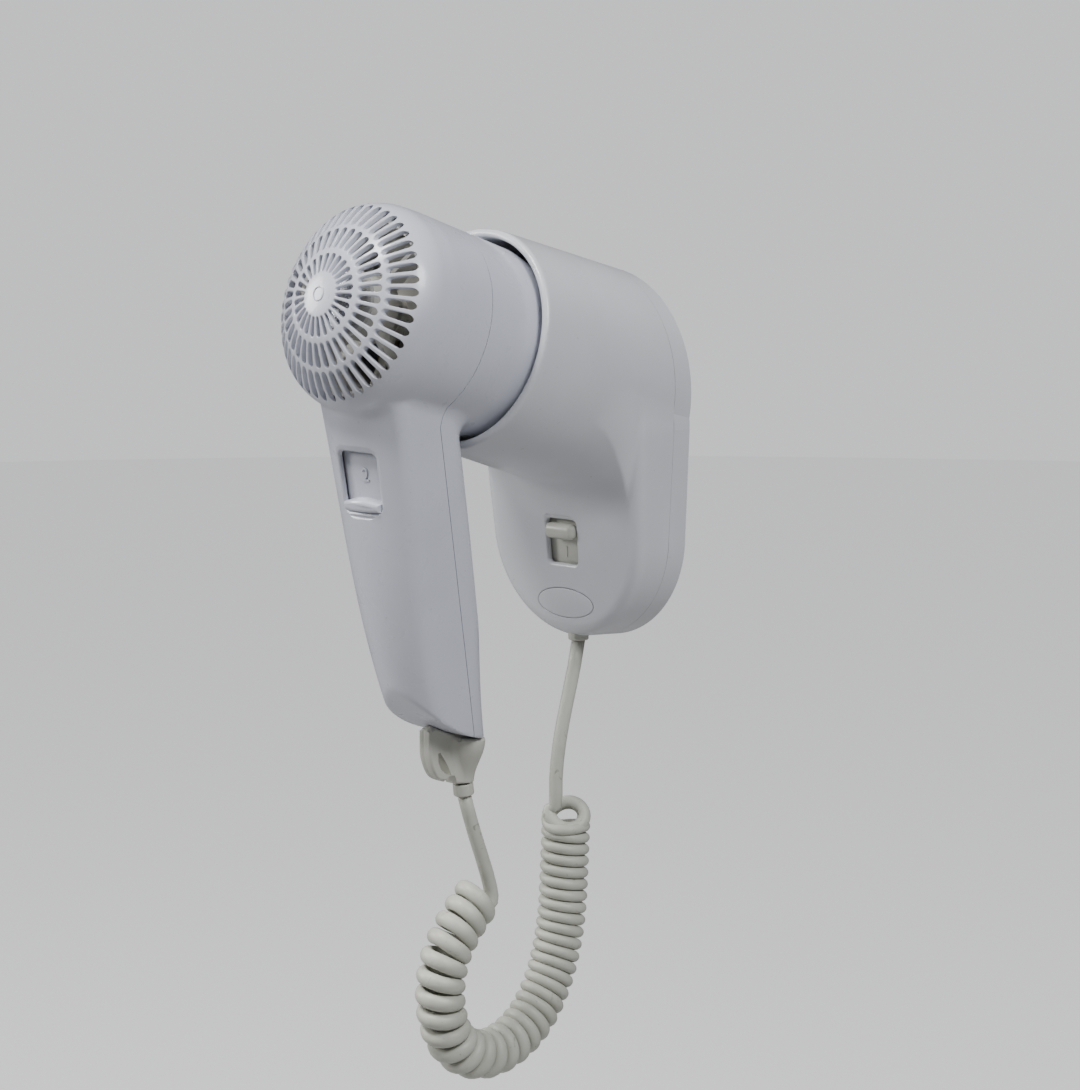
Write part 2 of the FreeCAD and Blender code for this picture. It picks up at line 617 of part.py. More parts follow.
# ---------------------------------------------------------------- cord
def route_wire(name, points):
    """Straight runs joined by tangent arcs as large as the runs allow."""
    points = [V(0, y, z) for y, z in points]
    edges = []
    last = points[0]
    for before, corner, after in zip(points, points[1:], points[2:]):
        reach = 0.45 * min((corner - before).Length, (after - corner).Length)
        back = (before - corner).normalize()
        ahead = (after - corner).normalize()
        half_turn = (math.pi - back.getAngle(ahead)) / 2
        radius = reach / math.tan(half_turn)
        middle = corner + (back + ahead).normalize() * (radius / math.cos(half_turn) - radius)
        start, end = corner + back * reach, corner + ahead * reach
        edges.append(Part.LineSegment(last, start).toShape())
        edges.append(Part.Arc(start, middle, end).toShape())
        last = end
        print("%s arc radius %.1f mm" % (name, radius))
    edges.append(Part.LineSegment(last, points[-1]).toShape())
    return Part.Wire(edges)


def cord_tube(name, points, radius):
    path = route_wire(name, points)
    start = V(0, *points[0])
    profile = Part.Wire([Part.Circle(start, V(0, *points[1]) - start, radius).toShape()])
    tube = path.makePipeShell([profile], True, False)
    print("%s length %.1f mm, volume / (section x length) %.4f" % (
        name, path.Length, tube.Volume / (math.pi * radius * radius * path.Length)))
    return tube


# ---------------------------------------------------------------- write the nodes
os.makedirs("parts", exist_ok=True)

holder_outer = holder_body()
holder_hollows = [lower_body(WALL), cup_cone(WALL)]
handset_outer = handset_solid(0.0)
handset_inner = handset_solid(WALL)
room_side = inlet_side()

save("wall_plate", wall_plate(holder_outer, holder_hollows))
save("holder_shell", holder_shell(holder_outer, holder_hollows))
save("screw_cover", screw_cover())
save("cover_screw", cover_screw())
save("main_slider", main_slider())
save("main_switch", main_switch_body())
save("terminal_block", terminal_block())
save("holder_cord_clamp", holder_clamp())
save("holder_clamp_screws", holder_clamp_screws())
save("holder_gland", holder_gland())

save("inlet_shell", inlet_shell(handset_outer, handset_inner, room_side))
save("outlet_shell", outlet_shell(handset_outer, handset_inner, room_side))
save("handset_screws", handset_screws())
save("outlet_grille", outlet_grille())
save("mica_sleeve", mica_sleeve())
save("mica_boards", mica_boards())
save("heater_coils", heater_coils())
save("thermostat", thermostat())
save("thermal_fuse", thermal_fuse())
save("rectifier", rectifier())
save("fan_duct", fan_duct())
save("motor", motor())
save("motor_shaft", motor_shaft())
save("impeller", impeller())
save("speed_slider", speed_slider())
save("speed_switch", speed_switch())
save("suppressor", suppressor())
save("handle_leads", handle_leads())
save("handset_cord_clamp", handset_clamp())
save("cord_bush", cord_bush())
save("bush_collar", bush_collar())

save("cord_holder_lead", cord_tube("holder lead", HOLDER_LEAD, CORD_R))
save("cord_coil", cord_tube("coil", COIL_ROUTE, COIL_R))
save("cord_handset_lead", cord_tube("handset lead", HANDSET_LEAD, CORD_R))
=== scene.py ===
# %% [markdown]
# # A wall hair dryer, its holder and its curly cord
# The CAD model is the frame: it has every part at its real size and place, in
# metres, with the wall at y = 0. This lesson keeps that frame as it is, gives
# each part its finish, and models again the pieces whose looks need soft
# edges, smooth joins or a coil: the holder's shell, the two handset shells,
# the sliders, the cord bush and the cord.

# %% Load the frame
import json
import math

import bmesh
import bpy
import numpy as np
from mathutils import Matrix, Vector


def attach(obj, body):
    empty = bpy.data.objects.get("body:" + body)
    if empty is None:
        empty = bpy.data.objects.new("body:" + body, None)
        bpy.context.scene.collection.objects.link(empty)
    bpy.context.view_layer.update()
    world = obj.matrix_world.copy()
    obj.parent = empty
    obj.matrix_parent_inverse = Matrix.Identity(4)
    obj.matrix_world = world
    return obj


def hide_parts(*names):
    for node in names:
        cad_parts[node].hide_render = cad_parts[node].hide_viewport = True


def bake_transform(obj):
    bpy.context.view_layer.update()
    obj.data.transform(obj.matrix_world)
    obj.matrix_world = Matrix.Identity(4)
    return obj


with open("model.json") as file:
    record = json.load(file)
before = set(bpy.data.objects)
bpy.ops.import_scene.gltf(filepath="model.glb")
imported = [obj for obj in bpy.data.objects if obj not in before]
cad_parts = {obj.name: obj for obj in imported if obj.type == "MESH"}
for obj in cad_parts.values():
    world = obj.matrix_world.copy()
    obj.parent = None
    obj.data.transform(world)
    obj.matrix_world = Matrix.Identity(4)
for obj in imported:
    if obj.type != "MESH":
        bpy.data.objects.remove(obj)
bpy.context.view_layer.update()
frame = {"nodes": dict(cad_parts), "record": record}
nodes = frame["nodes"]
print("parts in the frame:", len(nodes))

# %% [markdown]
# ## The viewpoint
# The dryer is seen from its front right, a little from above, through a long
# lens from 1.25 m away. A long lens keeps the barrel and the holder from
# looking swollen. The camera is aimed by turning its back axis to point away
# from the target.

# %% Camera
VIEW_TURN = math.radians(45.37)       # from straight ahead, towards the right
VIEW_RISE = math.radians(7.5)
VIEW_DISTANCE = 1.25302
VIEW_TARGET = Vector((0.04565, -0.087, -0.03923))

backwards = Vector((math.sin(VIEW_TURN) * math.cos(VIEW_RISE),
                    -math.cos(VIEW_TURN) * math.cos(VIEW_RISE),
                    math.sin(VIEW_RISE)))
camera_data = bpy.data.cameras.new("camera")
camera_data.lens = 99.08
camera_data.sensor_width = 36.0
camera = bpy.data.objects.new("camera", camera_data)
camera.location = VIEW_TARGET + backwards * VIEW_DISTANCE
camera.rotation_euler = backwards.to_track_quat("Z", "Y").to_euler()
bpy.context.scene.collection.objects.link(camera)
bpy.context.scene.camera = camera
print("camera at", [round(value, 3) for value in camera.location])

# %% [markdown]
# ## Light and floor
# Plain soft studio light: one strong lamp high in the room, so that the barrel
# and the cup shade the holder's front, a weak one at the left, one at the
# right, and a pale world that fills the shadows a little.

# %% Light
CENTRE = Vector((0.0, -0.09, -0.06))
FILL = 0.11                           # the room's own light, all round
BACKDROP = 0.85                       # how pale the room looks behind the dryer


def soft_lamp(name, place, size, watts, tint):
    data = bpy.data.lights.new(name, "AREA")
    data.shape = "DISK"
    data.size = size
    data.energy = watts
    data.color = tint
    lamp = bpy.data.objects.new(name, data)
    lamp.location = place
    lamp.rotation_euler = (Vector(place) - CENTRE).to_track_quat("Z", "Y").to_euler()
    bpy.context.scene.collection.objects.link(lamp)
    return lamp


soft_lamp("high_lamp", (-0.30, -1.00, 1.50), 0.55, 33.0, (1.0, 0.99, 0.98))
soft_lamp("left_lamp", (-1.25, -0.95, 0.45), 0.5, 15.0, (1.0, 1.0, 1.0))
soft_lamp("right_lamp", (1.25, -0.30, 1.10), 0.7, 24.0, (0.97, 0.98, 1.0))

world = bpy.data.worlds.new("studio")
bpy.context.scene.world = world
world.use_nodes = True
studio = world.node_tree
studio.nodes["Background"].inputs["Color"].default_value = (0.97, 0.98, 1.0, 1.0)
ray = studio.nodes.new("ShaderNodeLightPath")
strength = studio.nodes.new("ShaderNodeMapRange")
strength.inputs["To Min"].default_value = FILL
strength.inputs["To Max"].default_value = BACKDROP
studio.links.new(ray.outputs["Is Camera Ray"], strength.inputs["Value"])
studio.links.new(strength.outputs["Result"], studio.nodes["Background"].inputs["Strength"])

# %% [markdown]
# ## Finishes
# Every finish is worked out from the piece's own coordinates, so it stays put
# when the piece moves. Moulded plastic is never one flat colour: it has a
# faint cloudiness, a fine grain, rubbed spots that are duller than the rest,
# and a few hairline scratches from use.

# %% Helpers for finishes
def start_finish(name, metallic=0.0, roughness=0.4):
    """A new material, its node tree, its shader and the piece's own coordinates."""
    material = bpy.data.materials.new(name)
    material.use_nodes = True
    tree = material.node_tree
    shader = tree.nodes["Principled BSDF"]
    shader.inputs["Metallic"].default_value = metallic
    shader.inputs["Roughness"].default_value = roughness
    place = tree.nodes.new("ShaderNodeTexCoord").outputs["Object"]
    return material, tree, shader, place


def noise(tree, place, scale, detail=2.0, distortion=0.0):
    node = tree.nodes.new("ShaderNodeTexNoise")
    node.inputs["Scale"].default_value = scale
    node.inputs["Detail"].default_value = detail
    node.inputs["Distortion"].default_value = distortion
    tree.links.new(place, node.inputs["Vector"])
    return node.outputs["Fac"]


def stretched(tree, place, stretch, turn=(0.0, 0.0, 0.0)):
    """Coordinates pulled out along an axis, for scratches and brushed lines."""
    node = tree.nodes.new("ShaderNodeMapping")
    node.inputs["Scale"].default_value = stretch
    node.inputs["Rotation"].default_value = turn
    tree.links.new(place, node.inputs["Vector"])
    return node.outputs["Vector"]


def ranged(tree, value, low, high, to_low, to_high):
    """A value moved from one range to another, and kept inside it."""
    node = tree.nodes.new("ShaderNodeMapRange")
    for name, number in (("From Min", low), ("From Max", high), ("To Min", to_low), ("To Max", to_high)):
        node.inputs[name].default_value = number
    tree.links.new(value, node.inputs["Value"])
    return node.outputs["Result"]


def tinted(tree, share, first, second):
    """A colour between two, by share. Either may be a colour or a socket."""
    node = tree.nodes.new("ShaderNodeMix")
    node.data_type = "RGBA"
    tree.links.new(share, node.inputs["Factor"])
    for slot_name, colour in (("A", first), ("B", second)):
        socket = [s for s in node.inputs if s.name == slot_name and s.type == "RGBA"][0]
        if isinstance(colour, tuple):
            socket.default_value = (*colour, 1.0)
        else:
            tree.links.new(colour, socket)
    return [s for s in node.outputs if s.type == "RGBA"][0]


def sums(tree, operation, first, second):
    node = tree.nodes.new("ShaderNodeMath")
    node.operation = operation
    for socket, value in zip(node.inputs, (first, second)):
        if isinstance(value, float):
            socket.default_value = value
        else:
            tree.links.new(value, socket)
    return node.outputs["Value"]


def raised(tree, shader, height, depth):
    """Makes the surface rise and fall by a height map, depth in metres."""
    node = tree.nodes.new("ShaderNodeBump")
    node.inputs["Strength"].default_value = 1.0
    node.inputs["Distance"].default_value = depth
    tree.links.new(height, node.inputs["Height"])
    tree.links.new(node.outputs["Normal"], shader.inputs["Normal"])


# %% Moulded plastic
def moulded_plastic(name, light, dark, rub, gloss, grain, coat):
    material, tree, shader, place = start_finish(name)
    cloud = ranged(tree, noise(tree, place, 24.0, 4.0, 0.6), 0.32, 0.68, 0.0, 1.0)
    colour = tinted(tree, cloud, light, dark)
    streaks = noise(tree, stretched(tree, place, (1.0, 1.0, 0.07), (0.5, 0.9, 0.2)), 900.0, 3.0)
    where = noise(tree, place, 38.0, 3.0, 1.2)
    hairlines = sums(tree, "MULTIPLY", ranged(tree, streaks, 0.66, 0.72, 0.0, 1.0),
                     ranged(tree, where, 0.56, 0.66, 0.0, 1.0))
    specks = ranged(tree, noise(tree, place, 420.0, 2.0), 0.735, 0.76, 0.0, 1.0)
    marked = tinted(tree, sums(tree, "MULTIPLY", hairlines, 0.5), colour, rub)
    worn = tinted(tree, sums(tree, "MULTIPLY", specks, 0.35), marked, tuple(0.55 * c for c in dark))
    tree.links.new(worn, shader.inputs["Base Color"])
    smudge = ranged(tree, noise(tree, place, 60.0, 5.0, 0.8), 0.35, 0.7, gloss, gloss + 0.12)
    rough = sums(tree, "ADD", smudge, sums(tree, "MULTIPLY", hairlines, 0.2))
    tree.links.new(rough, shader.inputs["Roughness"])
    skin = sums(tree, "SUBTRACT", noise(tree, place, 1500.0, 2.0), sums(tree, "MULTIPLY", hairlines, 0.8))
    raised(tree, shader, skin, grain)
    shader.inputs["Coat Weight"].default_value = coat
    shader.inputs["Coat Roughness"].default_value = 0.12
    shader.inputs["IOR"].default_value = 1.5
    return material


handset_finish = moulded_plastic("handset_gloss_plastic", (0.600, 0.615, 0.690), (0.565, 0.580, 0.655),
                                 (0.72, 0.73, 0.78), 0.26, 0.000020, 0.25)
holder_finish = moulded_plastic("holder_gloss_plastic", (0.620, 0.632, 0.668), (0.588, 0.600, 0.634),
                                (0.74, 0.75, 0.77), 0.28, 0.000020, 0.22)
beige_finish = moulded_plastic("warm_grey_satin_plastic", (0.560, 0.560, 0.500), (0.520, 0.520, 0.462),
                               (0.66, 0.66, 0.60), 0.40, 0.000030, 0.05)
nylon_finish = moulded_plastic("natural_nylon", (0.72, 0.71, 0.66), (0.66, 0.65, 0.60),
                               (0.80, 0.79, 0.75), 0.48, 0.000040, 0.0)
phenolic_finish = moulded_plastic("black_heatproof_moulding", (0.030, 0.029, 0.028), (0.018, 0.018, 0.018),
                                  (0.10, 0.10, 0.10), 0.45, 0.000050, 0.0)
print("plastics made")

# %% [markdown]
# The cord's jacket is soft vinyl: satin, darker in random patches, with a
# faint pull along its length. Its pattern follows the tube's own map, so the
# pull runs along the cord through every turn.

# %% Cord jacket
def cord_jacket():
    material, tree, shader, place = start_finish("cord_soft_vinyl")
    tube_map = tree.nodes.new("ShaderNodeTexCoord").outputs["UV"]
    cloud = ranged(tree, noise(tree, place, 60.0, 5.0, 0.5), 0.3, 0.7, 0.0, 1.0)
    colour = tinted(tree, cloud, (0.575, 0.580, 0.515), (0.515, 0.520, 0.455))
    # Darker patches, laid at random by noise on the cord's own coordinates.
    dark_patches = ranged(tree, noise(tree, place, 240.0, 6.0, 1.5), 0.64, 0.74, 0.0, 0.6)
    patched = tinted(tree, dark_patches, colour, (0.20, 0.19, 0.155))
    tree.links.new(patched, shader.inputs["Base Color"])
    pull = noise(tree, stretched(tree, tube_map, (60.0, 90.0, 1.0)), 1.0, 3.0)
    rough = ranged(tree, noise(tree, place, 130.0, 4.0), 0.3, 0.7, 0.36, 0.52)
    tree.links.new(rough, shader.inputs["Roughness"])
    pits = noise(tree, place, 1800.0, 3.0)
    raised(tree, shader, sums(tree, "ADD", sums(tree, "MULTIPLY", pull, 0.6), pits), 0.00005)
    shader.inputs["IOR"].default_value = 1.48
    return material


jacket_finish = cord_jacket()

# %% [markdown]
# Inside the barrel there is metal, mica and wire, which shows through the
# slots and out of the end. Metals get brushed lines, mica gets flakes.

# %% Metals, mica and wire covering
def brushed_metal(name, light, dark, roughness, stretch):
    material, tree, shader, place = start_finish(name, metallic=1.0)
    lines = noise(tree, stretched(tree, place, stretch), 700.0, 4.0)
    blot = noise(tree, place, 120.0, 4.0, 0.8)
    tree.links.new(tinted(tree, blot, light, dark), shader.inputs["Base Color"])
    tree.links.new(ranged(tree, lines, 0.3, 0.7, roughness, roughness + 0.16), shader.inputs["Roughness"])
    raised(tree, shader, lines, 0.00002)
    return material


def mica_sheet():
    material, tree, shader, place = start_finish("mica_sheet", roughness=0.45)
    flakes = tree.nodes.new("ShaderNodeTexVoronoi")
    flakes.inputs["Scale"].default_value = 420.0
    tree.links.new(place, flakes.inputs["Vector"])
    share = ranged(tree, flakes.outputs["Distance"], 0.0, 0.7, 0.0, 1.0)
    tree.links.new(tinted(tree, share, (0.62, 0.53, 0.37), (0.44, 0.36, 0.24)), shader.inputs["Base Color"])
    raised(tree, shader, flakes.outputs["Distance"], 0.00005)
    return material


def wire_covering():
    material, tree, shader, place = start_finish("red_wire_covering", roughness=0.4)
    share = noise(tree, place, 200.0, 3.0)
    tree.links.new(tinted(tree, share, (0.42, 0.06, 0.04), (0.33, 0.04, 0.03)), shader.inputs["Base Color"])
    raised(tree, shader, noise(tree, place, 1500.0, 2.0), 0.00003)
    return material


zinc_finish = brushed_metal("zinc_plated_steel", (0.62, 0.62, 0.60), (0.50, 0.51, 0.50), 0.30,
                            (1.0, 1.0, 1.0))
motor_finish = brushed_metal("drawn_motor_can", (0.66, 0.66, 0.67), (0.56, 0.56, 0.58), 0.22,
                             (1.0, 0.1, 1.0))
heater_finish = brushed_metal("heated_wire", (0.34, 0.30, 0.27), (0.22, 0.19, 0.18), 0.38, (1.0, 1.0, 1.0))

FINISHES = {
    "handset_plastic": handset_finish, "holder_plastic": holder_finish, "beige_plastic": beige_finish,
    "cord_jacket": jacket_finish, "white_nylon": nylon_finish, "black_phenolic": phenolic_finish,
    "mica": mica_sheet(), "heater_wire": heater_finish, "zinc_steel": zinc_finish,
    "motor_steel": motor_finish, "copper_lead": wire_covering(),
}

# %% [markdown]
# ## Finish the parts that keep their CAD shape
# The record says which finish each part has. A part's material slots are
# filled from it, and its mesh isn't touched.

# %% Paint the frame's parts
for subpart in frame["record"]["subparts"]:
    part = nodes[subpart["node"]]
    part.data.materials.clear()
    part.data.materials.append(FINISHES[subpart["material_slot"]])

# %% [markdown]
# ## Smooth skins from distances
# Where two mouldings melt into each other, it's easiest to describe the solid
# by distance: a function says how far any point is outside it. Blender's
# remesh lays an even net near the surface, and each point of the net is then
# moved straight out or in until its distance is zero.

# %% Distance tools
WALL = 0.0022
NEAR = 0.00005


def united(first, second, radius):
    """Distance to two solids together, with a hollow fillet where they meet."""
    return (np.maximum(radius, np.minimum(first, second))
            - np.hypot(np.maximum(radius - first, 0), np.maximum(radius - second, 0)))


def shared(first, second, radius):
    """Distance to what two solids share, with a rounded edge where they cross."""
    return (np.minimum(-radius, np.maximum(first, second))
            + np.hypot(np.maximum(radius + first, 0), np.maximum(radius + second, 0)))


def steepest(distance, points):
    """The direction in which the distance grows fastest, at each point."""
    slopes = [distance(points + NEAR * axis) - distance(points - NEAR * axis) for axis in np.eye(3)]
    return np.stack(slopes, axis=1) / (2 * NEAR)


def melted(first, second, radius):
    """Two solids joined, with a fillet that fades out where their faces run alike."""
    def distance(points):
        alike = (steepest(first, points) * steepest(second, points)).sum(axis=1)
        return united(first(points), second(points), radius * np.clip(1 - alike, 0.0, 1.0))
    return distance


def drawn_onto(piece, distance, rounds):
    """Moves every point of a mesh onto the surface where the distance is zero."""
    points = np.empty(len(piece.data.vertices) * 3)
    piece.data.vertices.foreach_get("co", points)
    points = points.reshape(-1, 3)
    for _ in range(rounds):
        slope = steepest(distance, points)
        length = np.maximum((slope ** 2).sum(axis=1), 0.25)
        step = distance(points) / length
        points -= slope * np.clip(step, -0.004, 0.004)[:, None]
    piece.data.vertices.foreach_set("co", points.ravel())
    piece.data.update()


# %% Solid tools
def applied(piece, modifier):
    bpy.context.view_layer.objects.active = piece
    bpy.ops.object.modifier_apply(modifier=modifier.name)


def netted(piece, spacing):
    """The piece's skin laid again as an even net."""
    modifier = piece.modifiers.new("net", "REMESH")
    modifier.mode = "VOXEL"
    modifier.voxel_size = spacing
    applied(piece, modifier)


def joined(pieces):
    bpy.ops.object.select_all(action="DESELECT")
    for piece in pieces:
        piece.select_set(True)
    bpy.context.view_layer.objects.active = pieces[0]
    bpy.ops.object.join()
    return pieces[0]


def skin(name, rough, distance, spacing):
    """One closed skin, from rough overlapping solids and a distance."""
    piece = joined(rough)
    piece.name = name
    for rounds in (3, 4):
        netted(piece, spacing)
        drawn_onto(piece, distance, rounds)
    return piece


def carved(piece, tool, operation="DIFFERENCE"):
    modifier = piece.modifiers.new("carve", "BOOLEAN")
    modifier.operation = operation
    modifier.solver = "MANIFOLD"
    modifier.object = tool
    applied(piece, modifier)
    bpy.data.objects.remove(tool)
    return piece


def rod(radius, start, end, sides=128):
    start, end = Vector(start), Vector(end)
    turn = (end - start).to_track_quat("Z", "Y").to_euler()
    bpy.ops.mesh.primitive_cylinder_add(vertices=sides, radius=radius, depth=(end - start).length,
                                        location=(start + end) / 2, rotation=turn)
    bpy.ops.object.transform_apply()
    return bpy.context.object


def block(low, high):
    low, high = Vector(low), Vector(high)
    bpy.ops.mesh.primitive_cube_add(size=1.0, location=(low + high) / 2)
    bpy.context.object.dimensions = high - low
    bpy.ops.object.transform_apply()
    return bpy.context.object


def stacked(name, loops, place=Matrix()):
    """A closed solid through loops that all have the same number of points."""
    count = len(loops[0])
    points = [place @ Vector(point) for loop in loops for point in loop]
    faces = [tuple(range(count)), tuple(range(len(points) - count, len(points)))]
    for i in range(len(loops) - 1):
        for k in range(count):
            after = (k + 1) % count
            faces.append((i * count + k, i * count + after, (i + 1) * count + after, (i + 1) * count + k))
    shape = bmesh.new()
    corners = [shape.verts.new(point) for point in points]
    for face in faces:
        shape.faces.new([corners[i] for i in face])
    bmesh.ops.recalc_face_normals(shape, faces=shape.faces)
    mesh = bpy.data.meshes.new(name)
    shape.to_mesh(mesh)
    shape.free()
    piece = bpy.data.objects.new(name, mesh)
    bpy.context.scene.collection.objects.link(piece)
    return piece


def rounded_rectangle(half_x, half_y, corner, steps=6):
    """Points round a rectangle with round corners, centred on zero."""
    points = []
    for quarter, (sign_x, sign_y) in enumerate(((1, 1), (-1, 1), (-1, -1), (1, -1))):
        for i in range(steps + 1):
            angle = math.pi / 2 * (quarter + i / steps)
            points.append((sign_x * (half_x - corner) + corner * math.cos(angle),
                           sign_y * (half_y - corner) + corner * math.sin(angle)))
    return points


def flare_levels(depth, radius, steps=5, spread=0.001):
    """(height, growth) pairs of a hole whose mouth is rounded by a radius and then spreads."""
    levels = [(-depth, 0.0)]
    for i in range(steps + 1):
        angle = math.pi / 2 * i / steps
        levels.append((-radius + radius * math.sin(angle), radius * (1 - math.cos(angle))))
    return levels + [(0.0006, radius + spread)]


def flared_hole(name, half_x, half_y, corner, depth, radius, place, bed=lambda x, y: 0.0):
    """A cutter for a hole with a rounded mouth that follows the surface's bed."""
    loops = []
    for height, growth in flare_levels(depth, radius):
        outline = rounded_rectangle(half_x + growth, half_y + growth, corner + growth)
        loops.append([(x, y, height + bed(x, y)) for x, y in outline])
    low = [(x, y, -depth - 0.004) for x, y, z in loops[0]]
    high = [(x, y, 0.004) for x, y, z in loops[-1]]
    return stacked(name, [low] + loops + [high], place)


def finished(piece, name, finish, body, stands_for=(), smooth_angle=32.0):
    """Gives a piece its finish, smooth shading and its body."""
    piece.name = name
    piece.data.name = name
    piece.data.materials.clear()
    piece.data.materials.append(finish)
    bpy.ops.object.select_all(action="DESELECT")
    piece.select_set(True)
    bpy.context.view_layer.objects.active = piece
    bpy.ops.object.shade_smooth_by_angle(angle=math.radians(smooth_angle))
    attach(piece, body)
    if stands_for:
        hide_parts(*stands_for)
    print("%-18s %6d faces" % (name, len(piece.data.polygons)))
    return piece


# %% [markdown]
# ## The holder's shell
# Its lower body is a round-ended box whose front leans back a little, and the
# cup is a wide tube that leaves it upwards at 15 degrees. The underside of the
# cup runs into the front in one long hollow sweep.

# %% Holder shape
AXIS_TURN = math.radians(75)                  # from upright to the barrel's axis
CUP_MOUTH = Vector((0.0, -0.087, 0.045))
CUP_BORE_R = 0.0446
CUP_DEPTH = 0.044
CUP_LINER = 0.002
SEAM_Y = -0.010
FRONT_Y_AT_ZERO = -0.0323
FRONT_LEAN = math.radians(4.7)
SWEEP_RADIUS = 0.027
HOUSING_DEPTH = 0.060                         # the depth over which its outline draws in
HOUSING_HIGH_R, HOUSING_HIGH_DRAFT, HOUSING_HIGH_Z = 0.0502, 0.0008, 0.0040
HOUSING_LOW_R, HOUSING_LOW_DRAFT, HOUSING_LOW_Z = 0.0480, 0.0040, -0.0435
HOUSING_FRONT_ROUND = 0.006
CUP_RIM_R, CUP_RIM_ROUND = 0.0482, 0.0017
CUP_LENGTH = 0.09007                          # from the rim back to the wall
CUP_WIDENS, CUP_DROPS = 0.0028, 0.0016        # by this much over its length
BARREL = Matrix.Translation(CUP_MOUTH) @ Matrix.Rotation(AXIS_TURN, 4, "X")
TO_BARREL = np.array(BARREL.inverted())


def in_barrel(points):
    """Row frame points in the barrel's own frame, whose Z is its axis."""
    return points @ TO_BARREL[:3, :3].T + TO_BARREL[:3, 3]


def on_axis(distance):
    return BARREL @ Vector((0, 0, distance))


def round_ended(x, z, low_radius, high_radius, low_z, high_z):
    """Distance to a flat shape: two discs and all that lies between them."""
    rise = high_z - low_z
    lean = (low_radius - high_radius) / rise
    upright = np.sqrt(1 - lean ** 2)
    side, up = np.abs(x), z - low_z
    along_side = -lean * side + upright * up
    low = np.hypot(side, up) - low_radius
    high = np.hypot(side, up - rise) - high_radius
    between = side * upright + up * lean - low_radius
    return np.where(along_side < 0, low, np.where(along_side > upright * rise, high, between))


def housing(points, inset=0.0):
    x, y, z = points.T
    share = -y / HOUSING_DEPTH
    high = HOUSING_HIGH_R - inset - HOUSING_HIGH_DRAFT * share
    low = HOUSING_LOW_R - inset - HOUSING_LOW_DRAFT * share
    outline = round_ended(x, z, low, high, HOUSING_LOW_Z, HOUSING_HIGH_Z)
    front = (FRONT_Y_AT_ZERO - z * math.tan(FRONT_LEAN) - y) * math.cos(FRONT_LEAN) + inset
    return shared(outline, front, HOUSING_FRONT_ROUND - inset)


def cup(points, inset=0.0):
    x, up, out = in_barrel(points).T
    depth = -out / CUP_LENGTH
    side = np.hypot(x, up + CUP_DROPS * depth) - (CUP_RIM_R + CUP_WIDENS * depth) + inset
    return shared(side, out, CUP_RIM_ROUND)


def holder_distance(inset):
    whole = melted(lambda p: housing(p, inset), lambda p: cup(p, inset), SWEEP_RADIUS)
    return lambda points: np.maximum(whole(points), points[:, 1] - 0.006)


def holder_rough():
    high = rod(0.0490, (0, 0.006, 0.004), (0, -0.0315, 0.004))
    low = rod(0.0455, (0, 0.006, -0.0445), (0, -0.0280, -0.0445))
    middle = block((-0.047, -0.0295, -0.044), (0.047, 0.006, 0.004))
    tube_end = rod(0.0490, on_axis(-0.0005), on_axis(-0.096))
    return [high, low, middle, tube_end]


def front_place(z, depth=0.0):
    """The frame on the holder's leaning front: local Y up, local Z outwards."""
    y = FRONT_Y_AT_ZERO - z * math.tan(FRONT_LEAN)
    return (Matrix.Translation((0, y, z)) @ Matrix.Rotation(math.pi / 2 + FRONT_LEAN, 4, "X")
            @ Matrix.Translation((0, 0, -depth)))


def oval(half_x, half_y, height, sides=96):
    angles = [2 * math.pi * k / sides for k in range(sides)]
    return [(half_x * math.cos(a), half_y * math.sin(a), height) for a in angles]


def round_loop(radius, height, sides=128):
    return oval(radius, radius, height, sides)


# %% Holder shell
MAIN_Z = -0.0475
COVER_Z = -0.075
CORD_HOLE_Y = -0.0178
shell = skin("holder_shell_skin", holder_rough(), holder_distance(0.0), 0.0011)
hollow = skin("holder_hollow", holder_rough(), holder_distance(WALL), 0.0013)
hollow = carved(hollow, rod(CUP_BORE_R + CUP_LINER, on_axis(-CUP_DEPTH - CUP_LINER), on_axis(0.02)))
hollow = carved(hollow, rod(0.0045, (0, -0.06, COVER_Z), (0, 0.02, COVER_Z)))
shell = carved(shell, hollow)
shell = carved(shell, block((-0.09, SEAM_Y, -0.15), (0.09, 0.02, 0.15)))
bore = [round_loop(CUP_BORE_R, -CUP_DEPTH)]
bore += [round_loop(CUP_BORE_R + growth, height) for height, growth in flare_levels(0.01, 0.0014)[1:]]
shell = carved(shell, stacked("bore", bore, BARREL))
shell = carved(shell, flared_hole("main_window", 0.009, 0.010, 0.0022, 0.006, 0.0013, front_place(MAIN_Z)))
pocket = [oval(0.01725 + grow, 0.00675 + grow, height)
          for height, grow in ((-0.0012, 0.0), (-0.0003, 0.0), (0.0, 0.0003), (0.002, 0.0006))]
shell = carved(shell, stacked("pocket", pocket, front_place(COVER_Z)))
shell = carved(shell, rod(0.0036, (0, -0.06, COVER_Z), (0, -0.0185, COVER_Z)))
shell = carved(shell, rod(0.0017, (0, -0.06, COVER_Z), (0, 0.0, COVER_Z)))
shell = carved(shell, rod(0.0047, (0, CORD_HOLE_Y, -0.12), (0, CORD_HOLE_Y, -0.0862)))
finished(shell, "holder_front", holder_finish, "holder", ["holder_shell"])

cover_levels = ((-0.00115, 0.0), (-0.0002, 0.0), (0.00005, -0.0002), (0.00015, -0.0006))
cover = stacked("cover", [oval(0.017 + grow, 0.0065 + grow, height) for height, grow in cover_levels],
                front_place(COVER_Z))
finished(cover, "oval_cover", holder_finish, "holder", ["screw_cover"])

# %% [markdown]
# ## The handset's shells
# The barrel is turned, and its inlet end is part of a sphere. The handle has a
# crowned front, flat sides and a rounded back, and its front bulges below the
# middle. The two are melted together under the barrel, hollowed, and cut in
# two along the seam, with a hair's gap that shows as a dark line.

